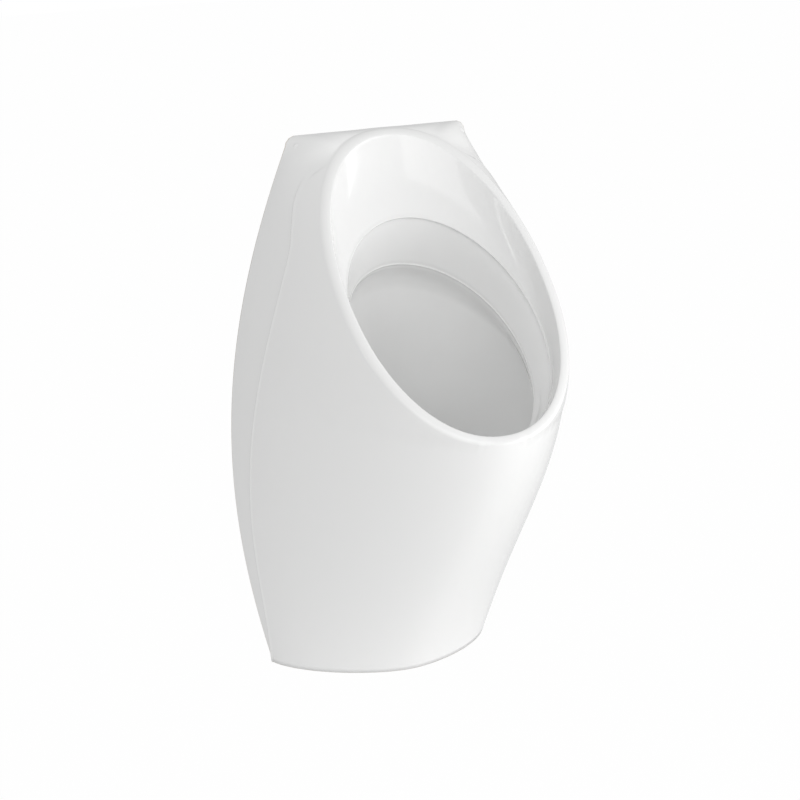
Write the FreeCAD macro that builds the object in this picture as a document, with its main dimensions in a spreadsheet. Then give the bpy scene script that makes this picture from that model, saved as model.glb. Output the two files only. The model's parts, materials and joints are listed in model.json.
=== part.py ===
import FreeCAD, Part
import math
import os
import re
import Sketcher

Vector = FreeCAD.Vector

doc = FreeCAD.newDocument("WallHungUrinal")

# ---------------------------------------------------------------- driving sizes, in mm
# The wall is the plane y = 0, the front looks along -Y, and z = 0 is the lower edge.
DRIVING_SIZES = {
    "china shell": {
        "body_height": 575.0,
        "half_width_bottom": 125.0,      # of the wall outline, at quarters of the height
        "half_width_low": 158.0,
        "half_width_middle": 166.5,
        "half_width_high": 145.5,
        "half_width_top": 97.7,
        "depth_bottom": 85.0,            # of the front, at 0, 1/3 and 2/3 of the lip's height
        "depth_low": 156.0,
        "depth_middle": 241.0,
        "power_bottom": 1.6,             # 2 is an ellipse, less is more pointed
        "power_lip": 1.8,
        "china_wall": 10.0,
        "flange_width": 24.0,
        "flange_depth": 12.0,
        "top_edge_radius": 9.0,
        "side_step": 2.5,                # the front shell stands this far proud of the flange
        "step_bottom_depth": 5.0,
        "step_high_depth": 68.0,
        "step_high_z": 390.0,
        "step_turn_depth": 74.0,
        "step_turn_z": 455.0,
        "step_top_depth": 50.0,
        "step_top_z": 555.0,
    },
    "mouth": {
        "rim_top_depth": 20.5,
        "rim_top_z": 578.3,
        "rim_lip_depth": 305.7,
        "rim_lip_z": 324.0,
        "rim_half_width": 115.6,
        "rim_power": 2.12,
        "rim_egg": -0.03,                # below 0 is wider at the lip
        "lip_thickness": 10.0,
    },
    "ridge and box rim": {
        "dish_top_depth": 42.0,
        "dish_top_z": 531.0,
        "dish_lip_depth": 291.5,
        "dish_lip_z": 322.0,
        "dish_half_width": 104.0,
        "ridge_top_depth": 62.0,
        "ridge_top_z": 495.0,
        "ridge_lip_depth": 287.0,
        "ridge_lip_z": 313.0,
        "ridge_half_width": 100.5,
        "ridge_step": 2.0,
        "hole_top_depth": 43.5,
        "hole_top_z": 439.5,
        "hole_lip_depth": 280.0,
        "hole_lip_z": 307.5,
        "hole_half_width": 86.0,
        "hole_egg": 0.06,
        "hole_edge": 8.0,
        "channel_top_depth": 35.0,
        "channel_top_z": 468.0,
        "channel_half_width": 111.0,
        "channel_half_length": 154.0,
        "channel_radius": 8.0,
        "flush_hole_radius": 2.5,
    },
    "bowl": {
        "bowl_top_depth": 25.5,
        "bowl_top_z": 440.0,
        "bowl_lip_depth": 277.0,
        "bowl_lip_z": 300.0,
        "bowl_half_width": 98.0,
        "drain_depth": 72.0,
        "drain_seat_z": 228.0,
        "drain_seat_radius": 37.0,
        "drain_bore_radius": 23.0,
        "spigot_radius": 34.0,
        "spigot_length": 30.0,
    },
    "fits": {
        "running_gap": 0.05,
        "slip_gap": 0.3,
    },
    "water inlet": {
        "inlet_boss_radius": 26.0,
        "inlet_socket_radius": 16.0,
        "inlet_socket_depth": 22.0,
        "inlet_chamber_radius": 13.0,
        "inlet_chamber_depth": 40.0,
        "connector_bore": 6.0,
        "connector_thread_radius": 10.4,
        "connector_thread_length": 14.0,
        "connector_hex_radius": 14.0,
        "connector_hex_length": 7.0,
        "connector_spigot_radius": 9.5,
        "connector_spigot_end": 28.0,
        "flat_seal_thickness": 1.5,
        "flat_seal_radius": 13.0,
        "lip_seal_length": 13.0,
        "spreader_radius": 12.0,
        "spreader_length": 11.0,
        "spreader_end_wall": 3.0,
        "spreader_window_radius": 2.4,
    },
    "waste": {
        "upper_seal_thickness": 2.0,
        "lower_seal_thickness": 4.0,
        "slip_washer_thickness": 1.5,
        "seal_radius": 32.5,
        "flange_radius": 33.0,
        "flange_thickness": 3.0,
        "strainer_seat_radius": 27.0,
        "strainer_seat_depth": 1.5,
        "waste_bore": 18.0,
        "waste_thread_radius": 22.0,
        "waste_thread_length": 44.0,
        "tail_radius": 16.0,
        "tail_wall": 1.5,
        "tail_length": 16.0,
        "backnut_flats": 56.0,
        "backnut_height": 8.0,
        "strainer_radius": 26.5,
        "strainer_plate": 1.5,
        "strainer_dome": 9.0,
        "strainer_skirt_radius": 17.0,
        "strainer_skirt_length": 10.0,
        "strainer_hole_radius": 2.2,
        "strainer_ring_radius": 12.0,
        "strainer_lift_hole_radius": 3.0,
    },
    "trap": {
        "neck_radius": 23.5,
        "neck_length": 14.0,
        "neck_top_gap": 12.5,            # from the end of the waste thread down to the neck
        "bottle_radius": 29.0,
        "bottle_wall": 2.5,
        "bottle_length": 76.0,
        "dip_wall": 1.7,
        "dip_flange_thickness": 2.0,
        "dip_length": 94.0,
        "cone_seal_height": 4.0,
        "nut_wall": 4.5,
        "nut_lip": 3.0,
        "nut_skirt": 10.0,
        "cup_wall": 3.2,
        "cup_floor": 3.0,
        "cup_thread_length": 14.0,
        "cup_depth": 11.0,
        "cup_seal_thickness": 2.0,
        "outlet_drop": 16.0,             # from the bottle's shoulder to the outlet's axis
        "branch_radius": 19.5,
        "branch_end_depth": 30.0,
        "outlet_pipe_end": 45.0,
        "outlet_pipe_start_depth": 46.0,
        "sleeve_radius": 24.0,
        "sleeve_start": 2.0,
        "sleeve_length": 30.0,
        "grip_rib_width": 4.0,
        "grip_rib_height": 1.3,
    },
    "hanging": {
        "rib_bottom_z": 473.0,
        "rib_height": 18.0,
        "rib_front_depth": 16.0,
        "rib_back_depth": 4.0,
        "bracket_across": 64.0,          # from the middle to each bracket
        "bracket_width": 32.0,
        "bracket_thickness": 3.0,
        "bracket_reach": 20.0,
        "bracket_hook": 18.0,
        "bracket_height": 80.0,
        "pad_thickness": 5.0,
        "screw_low_z": 506.0,
        "screw_spacing": 24.0,
        "screw_radius": 3.0,
        "screw_length": 38.0,
        "screw_head_flats": 10.0,
        "screw_head_height": 4.4,
        "screw_washer_radius": 8.0,
        "screw_washer_thickness": 1.6,
        "screw_plug_radius": 5.0,
        "screw_plug_length": 50.0,
        "plug_start": 2.0,
        "tip_gap": 1.0,                  # between a screw's tip and the floor of its plug
    },
    "lower fixing": {
        "stud_across": 78.0,             # from the middle to each stud
        "stud_z": 60.0,
        "stud_radius": 4.0,
        "stud_front_depth": 34.0,
        "stud_back_length": 31.0,
        "lug_half_size": 24.0,
        "lug_depth": 14.0,
        "bush_radius": 7.0,
        "stud_washer_radius": 12.0,
        "stud_washer_thickness": 2.0,
        "stud_nut_flats": 13.0,
        "stud_nut_height": 6.5,
        "stud_plug_radius": 6.0,
        "stud_plug_length": 46.0,
    },
}

sheet = doc.addObject("Spreadsheet::Sheet", "sizes")
row = 0
for group, values in DRIVING_SIZES.items():
    row += 1
    sheet.set(f"A{row}", group)
    for alias, value in values.items():
        row += 1
        sheet.set(f"A{row}", alias)
        sheet.set(f"B{row}", str(value))
        sheet.setAlias(f"B{row}", alias)
doc.recompute()


def size(alias):
    return float(sheet.get(alias))


def sized(text):
    # turns the plain size names of a formula into cells of the sheet
    return re.sub(r"[a-z][a-z_]+", lambda word: "sizes." + word.group(), text)


# ---------------------------------------------------------------- helpers for bound features
ALONG_Z = FreeCAD.Rotation()
ALONG_Y = FreeCAD.Rotation(Vector(1, 0, 0), -90)      # local +Z points into the wall


def place(piece, x="0", y="0", z="0", rotation=ALONG_Z):
    piece.Placement = FreeCAD.Placement(Vector(), rotation)
    for letter, text in (("x", x), ("y", y), ("z", z)):
        if text != "0":
            piece.setExpression(f"Placement.Base.{letter}", sized(text))


def new_body(label):
    body = doc.addObject("PartDesign::Body", label)
    body.Label = label
    return body


def new_sketch(body, name, role):
    sketch = body.newObject("Sketcher::SketchObject", name)
    plane = next(item for item in body.Origin.OriginFeatures if item.Role == role)
    sketch.AttachmentSupport = [(plane, "")]
    sketch.MapMode = "FlatFace"
    return sketch


def bind_length(sketch, kind, first, point, text):
    index = sketch.addConstraint(Sketcher.Constraint(kind, -1, 1, first, point, 1.0))
    sketch.setExpression(f"Constraints[{index}]", sized(text))


def draw_outline(sketch, corners):
    # a closed outline whose corners are bound to the sheet, all right of and above the origin
    count = len(corners)
    turn = 2 * math.pi / count
    rough = [Vector(20 + 5 * math.cos(i * turn), 20 + 5 * math.sin(i * turn), 0) for i in range(count)]
    for i in range(count):
        sketch.addGeometry(Part.LineSegment(rough[i], rough[(i + 1) % count]))
    for i in range(count):
        sketch.addConstraint(Sketcher.Constraint("Coincident", i, 2, (i + 1) % count, 1))
    for i, (across, up) in enumerate(corners):
        for kind, axis, text in (("DistanceX", -2, across), ("DistanceY", -1, up)):
            if text == "0":
                sketch.addConstraint(Sketcher.Constraint("PointOnObject", i, 1, axis))
            else:
                bind_length(sketch, kind, i, 1, text)


def draw_circle(sketch, radius, across="0", up="0"):
    circle = sketch.addGeometry(Part.Circle(Vector(1, 1, 0), Vector(0, 0, 1), 5.0))
    index = sketch.addConstraint(Sketcher.Constraint("Radius", circle, 5.0))
    sketch.setExpression(f"Constraints[{index}]", sized(radius))
    for kind, axis, text in (("DistanceX", -2, across), ("DistanceY", -1, up)):
        if text == "0":
            sketch.addConstraint(Sketcher.Constraint("PointOnObject", circle, 3, axis))
        else:
            bind_length(sketch, kind, circle, 3, text)


def turn_outline(body, name, corners, cut=False):
    # corners are (radius, height) along the body's own Z axis
    sketch = new_sketch(body, name + "_outline", "XZ_Plane")
    draw_outline(sketch, corners)
    kind = "PartDesign::Groove" if cut else "PartDesign::Revolution"
    feature = body.newObject(kind, name)
    feature.Profile = sketch
    feature.ReferenceAxis = (sketch, ["V_Axis"])
    feature.Angle = 360
    return feature


def turned(label, corners, x="0", y="0", z="0", rotation=ALONG_Z):
    body = new_body(label)
    turn_outline(body, label + "_turned", corners)
    place(body, x, y, z, rotation)
    return body


def ring(label, outer, inner, length, x="0", y="0", z="0", rotation=ALONG_Z):
    body = new_body(label)
    sketch = new_sketch(body, label + "_rings", "XY_Plane")
    draw_circle(sketch, outer)
    draw_circle(sketch, inner)
    pad = body.newObject("PartDesign::Pad", label + "_pad")
    pad.Profile = sketch
    pad.setExpression("Length", sized(length))
    place(body, x, y, z, rotation)
    return body


def repeat_round(body, feature, count):
    pattern = body.newObject("PartDesign::PolarPattern", feature.Name + "_pattern")
    pattern.Originals = [feature]
    axis = next(item for item in body.Origin.OriginFeatures if item.Role == "Z_Axis")
    pattern.Axis = (axis, [""])
    pattern.Angle = 360
    pattern.Occurrences = count
    body.Tip = pattern
    return pattern


def add_grip_ribs(body, name, radius, length, count):
    # small ribs round a plastic nut or cup, from its lower end upwards
    sketch = new_sketch(body, name + "_outline", "XY_Plane")
    corners = [(radius + " - grip_rib_height", "0"), (radius + " + grip_rib_height", "0"),
               (radius + " + grip_rib_height", "grip_rib_width"),
               (radius + " - grip_rib_height", "grip_rib_width")]
    draw_outline(sketch, corners)
    pad = body.newObject("PartDesign::Pad", name)
    pad.Profile = sketch
    pad.setExpression("Length", sized(length))
    repeat_round(body, pad, count)


def hex_piece(body, name, flats, height, z="0"):
    prism = body.newObject("PartDesign::AdditivePrism", name)
    prism.Polygon = 6
    prism.setExpression("Circumradius", sized(f"({flats}) / 1.7320508"))
    prism.setExpression("Height", sized(height))
    if z != "0":
        prism.setExpression("Placement.Base.z", sized(z))
    return prism


def bore_through(body, name, radius, length, z="0"):
    bore = body.newObject("PartDesign::SubtractiveCylinder", name)
    bore.setExpression("Radius", sized(radius))
    bore.setExpression("Height", sized(length))
    if z != "0":
        bore.setExpression("Placement.Base.z", sized(z))
    return bore


def hex_nut(label, flats, bore, height, x="0", y="0", z="0", rotation=ALONG_Z):
    body = new_body(label)
    hex_piece(body, label + "_hexagon", flats, height)
    doc.recompute()
    bore_through(body, label + "_bore", bore, height)
    doc.recompute()
    # the corners are turned off at both ends
    for end, low, high in (("low", "0", f"({flats}) * 0.06"),
                           ("high", height, f"({height}) - ({flats}) * 0.06")):
        turn_outline(body, f"{label}_{end}_chamfer",
                     [(f"({flats}) * 0.5", low), (f"({flats}) * 0.62", low),
                      (f"({flats}) * 0.62", high)], cut=True)
        doc.recompute()
    place(body, x, y, z, rotation)
    return body


def cylinder(name, radius, length, x="0", y="0", z="0", rotation=ALONG_Z):
    piece = doc.addObject("Part::Cylinder", name)
    piece.setExpression("Radius", sized(radius))
    piece.setExpression("Height", sized(length))
    place(piece, x, y, z, rotation)
    return piece


def box(name, length, width, height, x="0", y="0", z="0"):
    piece = doc.addObject("Part::Box", name)
    for side, text in (("Length", length), ("Width", width), ("Height", height)):
        piece.setExpression(side, sized(text))
    place(piece, x, y, z)
    return piece


def joined(name, pieces):
    fuse = doc.addObject("Part::MultiFuse", name)
    fuse.Shapes = pieces
    return fuse


def cut_away(label, base, tool):
    cut = doc.addObject("Part::Cut", label)
    cut.Label = label
    cut.Base = base
    cut.Tool = tool
    return cut


def mirrored(label, source):
    mirror = doc.addObject("Part::Mirroring", label)
    mirror.Label = label
    mirror.Source = source
    mirror.Base = Vector(0, 0, 0)
    mirror.Normal = Vector(1, 0, 0)
    return mirror


def gathered(label, pieces):
    group = doc.addObject("Part::Compound", label)
    group.Label = label
    group.Links = pieces
    return group


def mirrored_group(label, pieces):
    # each piece on the right and its twin on the left, all in one node
    twins = [mirrored(piece.Name + "_twin", piece) for piece in pieces]
    return gathered(label, pieces + twins)


# ---------------------------------------------------------------- the china: outlines
BACK = 20.0          # how far the raw shapes run past the wall plane before they are cut


def signed_power(value, power):
    return math.copysign(abs(value) ** power, value)


HEIGHT = size("body_height")
LIP_Z = size("rim_lip_z")


def smooth_through(values, share):
    # one smooth curve through evenly spaced values; share counts the steps between them
    total = 0.0
    for i, value in enumerate(values):
        for j in range(len(values)):
            if j != i:
                value *= (share - j) / (i - j)
        total += value
    return total


def half_width(z):
    # the wall outline passes through five half widths, a quarter of the height apart
    names = ("half_width_bottom", "half_width_low", "half_width_middle", "half_width_high", "half_width_top")
    return smooth_through([size(name) for name in names], 4.0 * z / HEIGHT)


def section_power(z):
    share = min(z / LIP_Z, 1.0)
    return size("power_bottom") + (size("power_lip") - size("power_bottom")) * share


def rim_point(z):
    # where the outer edge of the mouth crosses height z: distance from the middle, and depth
    top_z, lip_z = size("rim_top_z"), LIP_Z
    share = max(-0.99, min(0.985, (2 * z - top_z - lip_z) / (top_z - lip_z)))
    power = size("rim_power")
    across = size("rim_half_width") * (1 - abs(share) ** power) ** (1 / power)
    across *= 1 + size("rim_egg") * signed_power(share, power / 2)
    middle = (size("rim_top_depth") + size("rim_lip_depth")) / 2
    reach = (size("rim_lip_depth") - size("rim_top_depth")) / 2
    return across, middle - reach * share


def front_depth(z):
    # below the lip a curve through four depths; above it the outline passes through the edge of the mouth
    if z <= LIP_Z:
        names = ("depth_bottom", "depth_low", "depth_middle", "rim_lip_depth")
        return smooth_through([size(name) for name in names], 3.0 * z / LIP_Z)
    across, depth = rim_point(z)
    power = section_power(z)
    return depth / (1 - (across / half_width(z)) ** power) ** (1 / power)


def shell_heights(low, high):
    # evenly spaced up to the lip, then closer and closer together towards the top
    heights = [LIP_Z * i / 8 for i in range(9)]
    heights += [LIP_Z + (HEIGHT - LIP_Z) * share for share in (0.16, 0.32, 0.47, 0.61, 0.73, 0.83, 0.92, 1.0)]
    heights[0] = low
    heights[-1] = high
    return heights


def shell_section(z, depth, side_inset, front_inset):
    # half a rounded D from side to side, closed straight across behind the wall plane
    wide = half_width(z) - side_inset
    deep = depth - front_inset
    power = 2 / section_power(z)
    points = []
    steps = 10
    for i in range(steps + 1):
        angle = math.pi * i / steps
        points.append(Vector(-wide * signed_power(math.cos(angle), power),
                             -deep * abs(math.sin(angle)) ** power, z))
    curve = Part.BSplineCurve()
    curve.interpolate(Points=points)
    right, left = Vector(wide, BACK, z), Vector(-wide, BACK, z)
    lines = [Part.LineSegment(points[-1], right), Part.LineSegment(right, left),
             Part.LineSegment(left, points[0])]
    return Part.Wire([edge.toShape() for edge in [curve] + lines])


def shell(side_inset, front_inset, low=0.0, top_gap=0.0):
    sections = [shell_section(z, front_depth(z), side_inset, front_inset)
                for z in shell_heights(low, HEIGHT - top_gap)]
    return Part.makeLoft(sections, True, False)


def rounded_shell(low=0.0):
    # the last few millimetres are a second loft that rounds the top edge over
    radius = size("top_edge_radius")
    turn_z = HEIGHT - radius
    sections = []
    for i in range(6):
        angle = math.pi / 2 * i / 5
        inset = radius * (1 - math.cos(angle))
        sections.append(shell_section(turn_z + radius * math.sin(angle), front_depth(turn_z), inset, inset))
    return shell(0.0, 0.0, low, radius).fuse(Part.makeLoft(sections, True, False))


def slab(low_y, high_y):
    reach = 2 * HEIGHT
    return Part.makeBox(2 * reach, high_y - low_y, 2 * reach, Vector(-reach, low_y, -reach))


def spots(name):
    # the (y, z) of an oval's back edge and of its front edge
    top = (-size(name + "_top_depth"), size(name + "_top_z"))
    lip = (-size(name + "_lip_depth"), size(name + "_lip_z"))
    return top, lip


def oval(top, lip, wide, grow=0.0, lift=0.0, power=2.0, egg=0.0):
    # a tilted oval from its back edge to its front edge, in (y, z), lifted along its normal
    length = math.dist(top, lip) / 2
    along = ((top[0] - lip[0]) / 2 / length, (top[1] - lip[1]) / 2 / length)
    points = []
    count = 16
    for i in range(count):
        angle = 2 * math.pi * i / count
        side = (wide + grow) * signed_power(math.cos(angle), 2 / power) * (1 + egg * math.sin(angle))
        reach = (length + grow) * signed_power(math.sin(angle), 2 / power)
        y = (top[0] + lip[0]) / 2 + reach * along[0] - lift * along[1]
        z = (top[1] + lip[1]) / 2 + reach * along[1] + lift * along[0]
        points.append(Vector(side, y, z))
    curve = Part.BSplineCurve()
    curve.interpolate(Points=points, PeriodicFlag=True)
    return Part.Wire([curve.toShape()])


def rim_oval(grow, lift):
    top, lip = spots("rim")
    return oval(top, lip, size("rim_half_width"), grow, lift, size("rim_power"), size("rim_egg"))


def named_oval(name, grow=0.0, lift=0.0, egg=0.0):
    top, lip = spots(name)
    return oval(top, lip, size(name + "_half_width"), grow, lift, 2.0, egg)


def bowl_ovals(grow):
    # from under the box rim down to the drain's seat; share runs from 0 to 1
    top, lip = spots("bowl")
    drain_y, seat_z, seat = -size("drain_depth"), size("drain_seat_z"), size("drain_seat_radius")
    end_top = (drain_y + seat, seat_z)
    end_lip = (drain_y - seat, seat_z)
    rows = []
    # shares of the way: of the back edge's depth and height, of the front edge's, and of the width
    for back_y, back_z, front_y, front_z, width, sink in (
            (0.0, 0.0, 0.0, 0.0, 0.0, 0.0), (0.04, 0.30, 0.09, 0.25, 0.03, 0.35),
            (0.12, 0.60, 0.32, 0.55, 0.17, 0.7), (0.40, 0.86, 0.70, 0.84, 0.52, 0.9),
            (1.0, 1.0, 1.0, 1.0, 1.0, 1.0)):
        back = (top[0] + (end_top[0] - top[0]) * back_y, top[1] + (end_top[1] - top[1]) * back_z)
        front = (lip[0] + (end_lip[0] - lip[0]) * front_y, lip[1] + (end_lip[1] - lip[1]) * front_z)
        wide = size("bowl_half_width") + (seat - size("bowl_half_width")) * width
        rows.append(oval(back, front, wide, grow, -grow * sink))
    return rows


def splash_ovals(grow):
    # from above the mouth, over its lip and down the splash back to the ridge
    inside = grow - size("lip_thickness")
    return [rim_oval(inside + 3.0, 24.0), rim_oval(inside, 0.0), named_oval("dish", grow),
            named_oval("ridge", grow)]


def mouth_hollow():
    # the space that the splash back and the box rim go round, down past the box rim's edge
    egg = size("hole_egg")
    edge = size("hole_edge")
    ovals = splash_ovals(0.0) + [named_oval("hole", 0.0, 0.0, egg), named_oval("hole", 0.0, -edge - 3.0, egg)]
    return Part.makeLoft(ovals, True, False)


def bowl_hollow():
    return Part.makeLoft(bowl_ovals(0.0), True, False)


def vessel():
    # the dry side of the splash back, box rim and bowl
    wall = size("china_wall")
    return Part.makeLoft(splash_ovals(wall) + bowl_ovals(wall), True, False)


def channel_path():
    # the water channel runs round the back of the mouth inside the box rim
    top, lip = spots("hole")
    length = math.dist(top, lip)
    along = ((top[0] - lip[0]) / length, (top[1] - lip[1]) / length)
    half_length, half_wide = size("channel_half_length"), size("channel_half_width")
    middle_y = -size("channel_top_depth") - half_length * along[0]
    middle_z = size("channel_top_z") - half_length * along[1]
    points = []
    for i in range(13):
        angle = math.radians(-6 + 192 * i / 12)
        reach = half_length * math.sin(angle)
        points.append(Vector(half_wide * math.cos(angle), middle_y + reach * along[0],
                             middle_z + reach * along[1]))
    curve = Part.BSplineCurve()
    curve.interpolate(Points=points)
    return curve, Vector(0, middle_y, middle_z), Vector(0, -along[1], along[0])


def pipe(curve, radius):
    start = curve.value(curve.FirstParameter)
    way = curve.tangent(curve.FirstParameter)[0]
    circle = Part.Wire([Part.makeCircle(radius, start, way)])
    return Part.Wire([curve.toShape()]).makePipeShell([circle], True, False)


def rod(radius, start, end):
    way = end - start
    return Part.makeCylinder(radius, way.Length, start, way)


# ---------------------------------------------------------------- the china: one casting
def front_of_step():
    # everything in front of the step that runs down each side
    low = Vector(0, -size("step_bottom_depth"), -1)
    high = Vector(0, -size("step_high_depth"), size("step_high_z"))
    turn = Vector(0, -size("step_turn_depth"), size("step_turn_z"))
    top = Vector(0, -size("step_top_depth"), size("step_top_z"))
    far = 2 * size("rim_lip_depth")
    edges = [Part.LineSegment(low, high).toShape(), Part.Arc(high, turn, top).toShape()]
    corners = [top, Vector(0, -far, size("step_top_z")), Vector(0, -far, -1), low]
    edges += [Part.LineSegment(a, b).toShape() for a, b in zip(corners, corners[1:])]
    face = Part.Face(Part.Wire(edges))
    face.translate(Vector(-far, 0, 0))
    return face.extrude(Vector(2 * far, 0, 0))


def below_rim(lift):
    # the half space under the plane of the mouth, lifted by the given amount
    top, lip = spots("rim")
    length = math.dist(top, lip)
    along = Vector(0, (top[0] - lip[0]) / length, (top[1] - lip[1]) / length)
    normal = Vector(0, -along.z, along.y)
    reach = 2 * HEIGHT
    base = Vector(-reach, 0, 0) + Vector(0, lip[0], lip[1]) - along * reach + normal * (lift - reach)
    block = Part.makeBox(2 * reach, 3 * reach, reach)
    turn = FreeCAD.Rotation(Vector(1, 0, 0), along, normal, "XYZ")
    block.Placement = FreeCAD.Placement(base, turn)
    return block


def flange_opening():
    # the wall outline set inwards, as a straight block through the flange
    width = size("flange_width")
    levels = [-1.0 + (HEIGHT - width + 1.0) * i / 8 for i in range(9)]
    sides = []
    for side in (1, -1):
        curve = Part.BSplineCurve()
        curve.interpolate(Points=[Vector(side * (half_width(z) - width), 0, z) for z in levels])
        sides.append(curve)
    right, left = sides
    edges = [right.toShape(), Part.LineSegment(right.EndPoint, left.EndPoint).toShape(),
             left.toShape(), Part.LineSegment(left.StartPoint, right.StartPoint).toShape()]
    face = Part.Face(Part.Wire(Part.__sortEdges__(edges)))
    face.translate(Vector(0, -size("flange_depth") - 0.5, 0))
    return face.extrude(Vector(0, size("flange_depth") + BACK / 2, 0))


def hollow_behind():
    # the dry space behind the vessel, open at the wall and at the lower edge, less what stands in it
    wall = size("china_wall")
    flange = size("flange_depth")
    hollow = shell(wall, wall, -1.0, wall).common(slab(-2 * HEIGHT, -flange))
    hollow = hollow.fuse(flange_opening()).common(below_rim(-wall))

    inlet_z = size("channel_top_z")
    rib_back = size("rib_back_depth")
    rib_half = size("half_width_high")
    kept = [vessel(), pipe(channel_path()[0], size("channel_radius") + wall)]
    kept.append(rod(size("inlet_boss_radius"), Vector(0, -rib_back, inlet_z),
                    Vector(0, -size("channel_top_depth"), inlet_z)))
    kept.append(Part.makeBox(2 * rib_half, size("rib_front_depth") - rib_back, size("rib_height"),
                             Vector(-rib_half, -size("rib_front_depth"), size("rib_bottom_z"))))
    drain = Vector(0, -size("drain_depth"), size("drain_seat_z"))
    kept.append(rod(size("spigot_radius"), drain, drain - Vector(0, 0, size("spigot_length"))))
    lug = size("lug_half_size")
    near = size("stud_across") - lug
    far = size("half_width_middle")
    for start in (near, -far):
        kept.append(Part.makeBox(far - near, size("lug_depth"), 2 * lug,
                                 Vector(start, -size("lug_depth"), size("stud_z") - lug)))
    for flesh in kept:
        hollow = hollow.cut(flesh)
    return hollow


def stepped_shell():
    # behind the side step and at the top the shell is trimmed back to the outline of the wall flange
    proud = shell(-size("side_step"), 0.0, 0.0, -3.0)
    proud = proud.common(slab(-2 * HEIGHT, 0)).common(below_rim(0.0))
    reach = size("half_width_middle") + BACK
    around = Part.makeBox(2 * reach, size("step_turn_depth") + 2 * BACK, HEIGHT + 2 * BACK,
                          Vector(-reach, -size("step_turn_depth") - BACK, -3))
    return proud.cut(around.cut(front_of_step()).cut(rounded_shell(-1.0)))


def water_ways():
    # inlet socket and chamber, flush holes under the box rim, drain bore and stud holes
    inlet_z = size("channel_top_z")
    back = Vector(0, 1, inlet_z)
    drain = Vector(0, -size("drain_depth"), size("drain_seat_z"))
    tools = [rod(size("inlet_socket_radius"), back, Vector(0, -size("inlet_socket_depth"), inlet_z)),
             rod(size("inlet_chamber_radius"), back, Vector(0, -size("inlet_chamber_depth"), inlet_z)),
             rod(size("drain_bore_radius"), drain + Vector(0, 0, 1),
                 drain - Vector(0, 0, size("spigot_length") + 1))]
    curve, middle, normal = channel_path()
    first, last = curve.FirstParameter, curve.LastParameter
    for i in (1, 2, 3, 4, 5, 7, 8, 9, 10, 11):
        start = curve.value(first + (last - first) * i / 12)
        inward = (middle - start).normalize()
        tools.append(rod(size("flush_hole_radius"), start, start + (inward * 0.65 - normal) * 34))
    for side in (-1, 1):
        centre = Vector(side * size("stud_across"), 1, size("stud_z"))
        tools.append(rod(size("bush_radius"), centre, centre - Vector(0, size("lug_depth") + 2, 0)))
    return tools


def china():
    casting = stepped_shell()
    for tool in (hollow_behind(), mouth_hollow(), bowl_hollow()):
        casting = casting.cut(tool)
    return casting.cut([pipe(channel_path()[0], size("channel_radius"))] + water_ways())


def add_china():
    piece = doc.addObject("Part::Feature", "ceramic_body")
    piece.Label = "ceramic_body"
    piece.Shape = china()
    return piece


# ---------------------------------------------------------------- water inlet
def add_inlet():
    axis = dict(z="channel_top_z", rotation=ALONG_Y)
    start = "connector_spigot_end"
    face = start + " - flat_seal_thickness"
    collar = face + " - connector_hex_length"
    corners = [("connector_bore", "0"), ("connector_spigot_radius", "0"),
               ("connector_spigot_radius", collar), ("connector_hex_radius", collar),
               ("connector_hex_radius", face), ("connector_thread_radius - 1", face),
               ("connector_thread_radius - 1", start), ("connector_thread_radius", start),
               ("connector_thread_radius", start + " + connector_thread_length"),
               ("connector_bore", start + " + connector_thread_length")]
    connector = turned("inlet_connector", corners, y="-connector_spigot_end", **axis)
    flat_seal = ring("inlet_flat_seal", "flat_seal_radius", "connector_thread_radius + running_gap",
                     "flat_seal_thickness", y="-flat_seal_thickness", **axis)
    lip_seal = ring("inlet_lip_seal", "inlet_socket_radius - running_gap",
                    "connector_spigot_radius + running_gap", "lip_seal_length",
                    y="-inlet_socket_depth", **axis)
    outer = "spreader_radius"
    sleeve = "connector_spigot_radius + running_gap"
    spreader = new_body("inlet_spreader")
    turn_outline(spreader, "spreader_cup",
                 [("0", "0"), (outer, "0"), (outer, "spreader_length"), (sleeve, "spreader_length"),
                  (sleeve, "spreader_end_wall"), ("0", "spreader_end_wall")])
    doc.recompute()
    windows = new_sketch(spreader, "spreader_windows", "YZ_Plane")
    draw_circle(windows, "spreader_window_radius", up="spreader_end_wall + spreader_window_radius + 0.3")
    pocket = spreader.newObject("PartDesign::Pocket", "spreader_window_cut")
    pocket.Profile = windows
    pocket.Type = 1
    pocket.Midplane = True
    place(spreader, y="-connector_spigot_end - spreader_end_wall - 2 * spreader_window_radius - 0.6", **axis)
    return [connector, flat_seal, lip_seal, spreader]


# ---------------------------------------------------------------- drain fitting
SEAT_TOP = "drain_seat_z + upper_seal_thickness"
THREAD_END = SEAT_TOP + " - waste_thread_length"
SPIGOT_END = "drain_seat_z - spigot_length"
NECK_TOP = THREAD_END + " - neck_top_gap"
SHOULDER = NECK_TOP + " - neck_length"
BOTTLE_END = SHOULDER + " - bottle_length"
OUTLET_Z = SHOULDER + " - outlet_drop"


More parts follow.
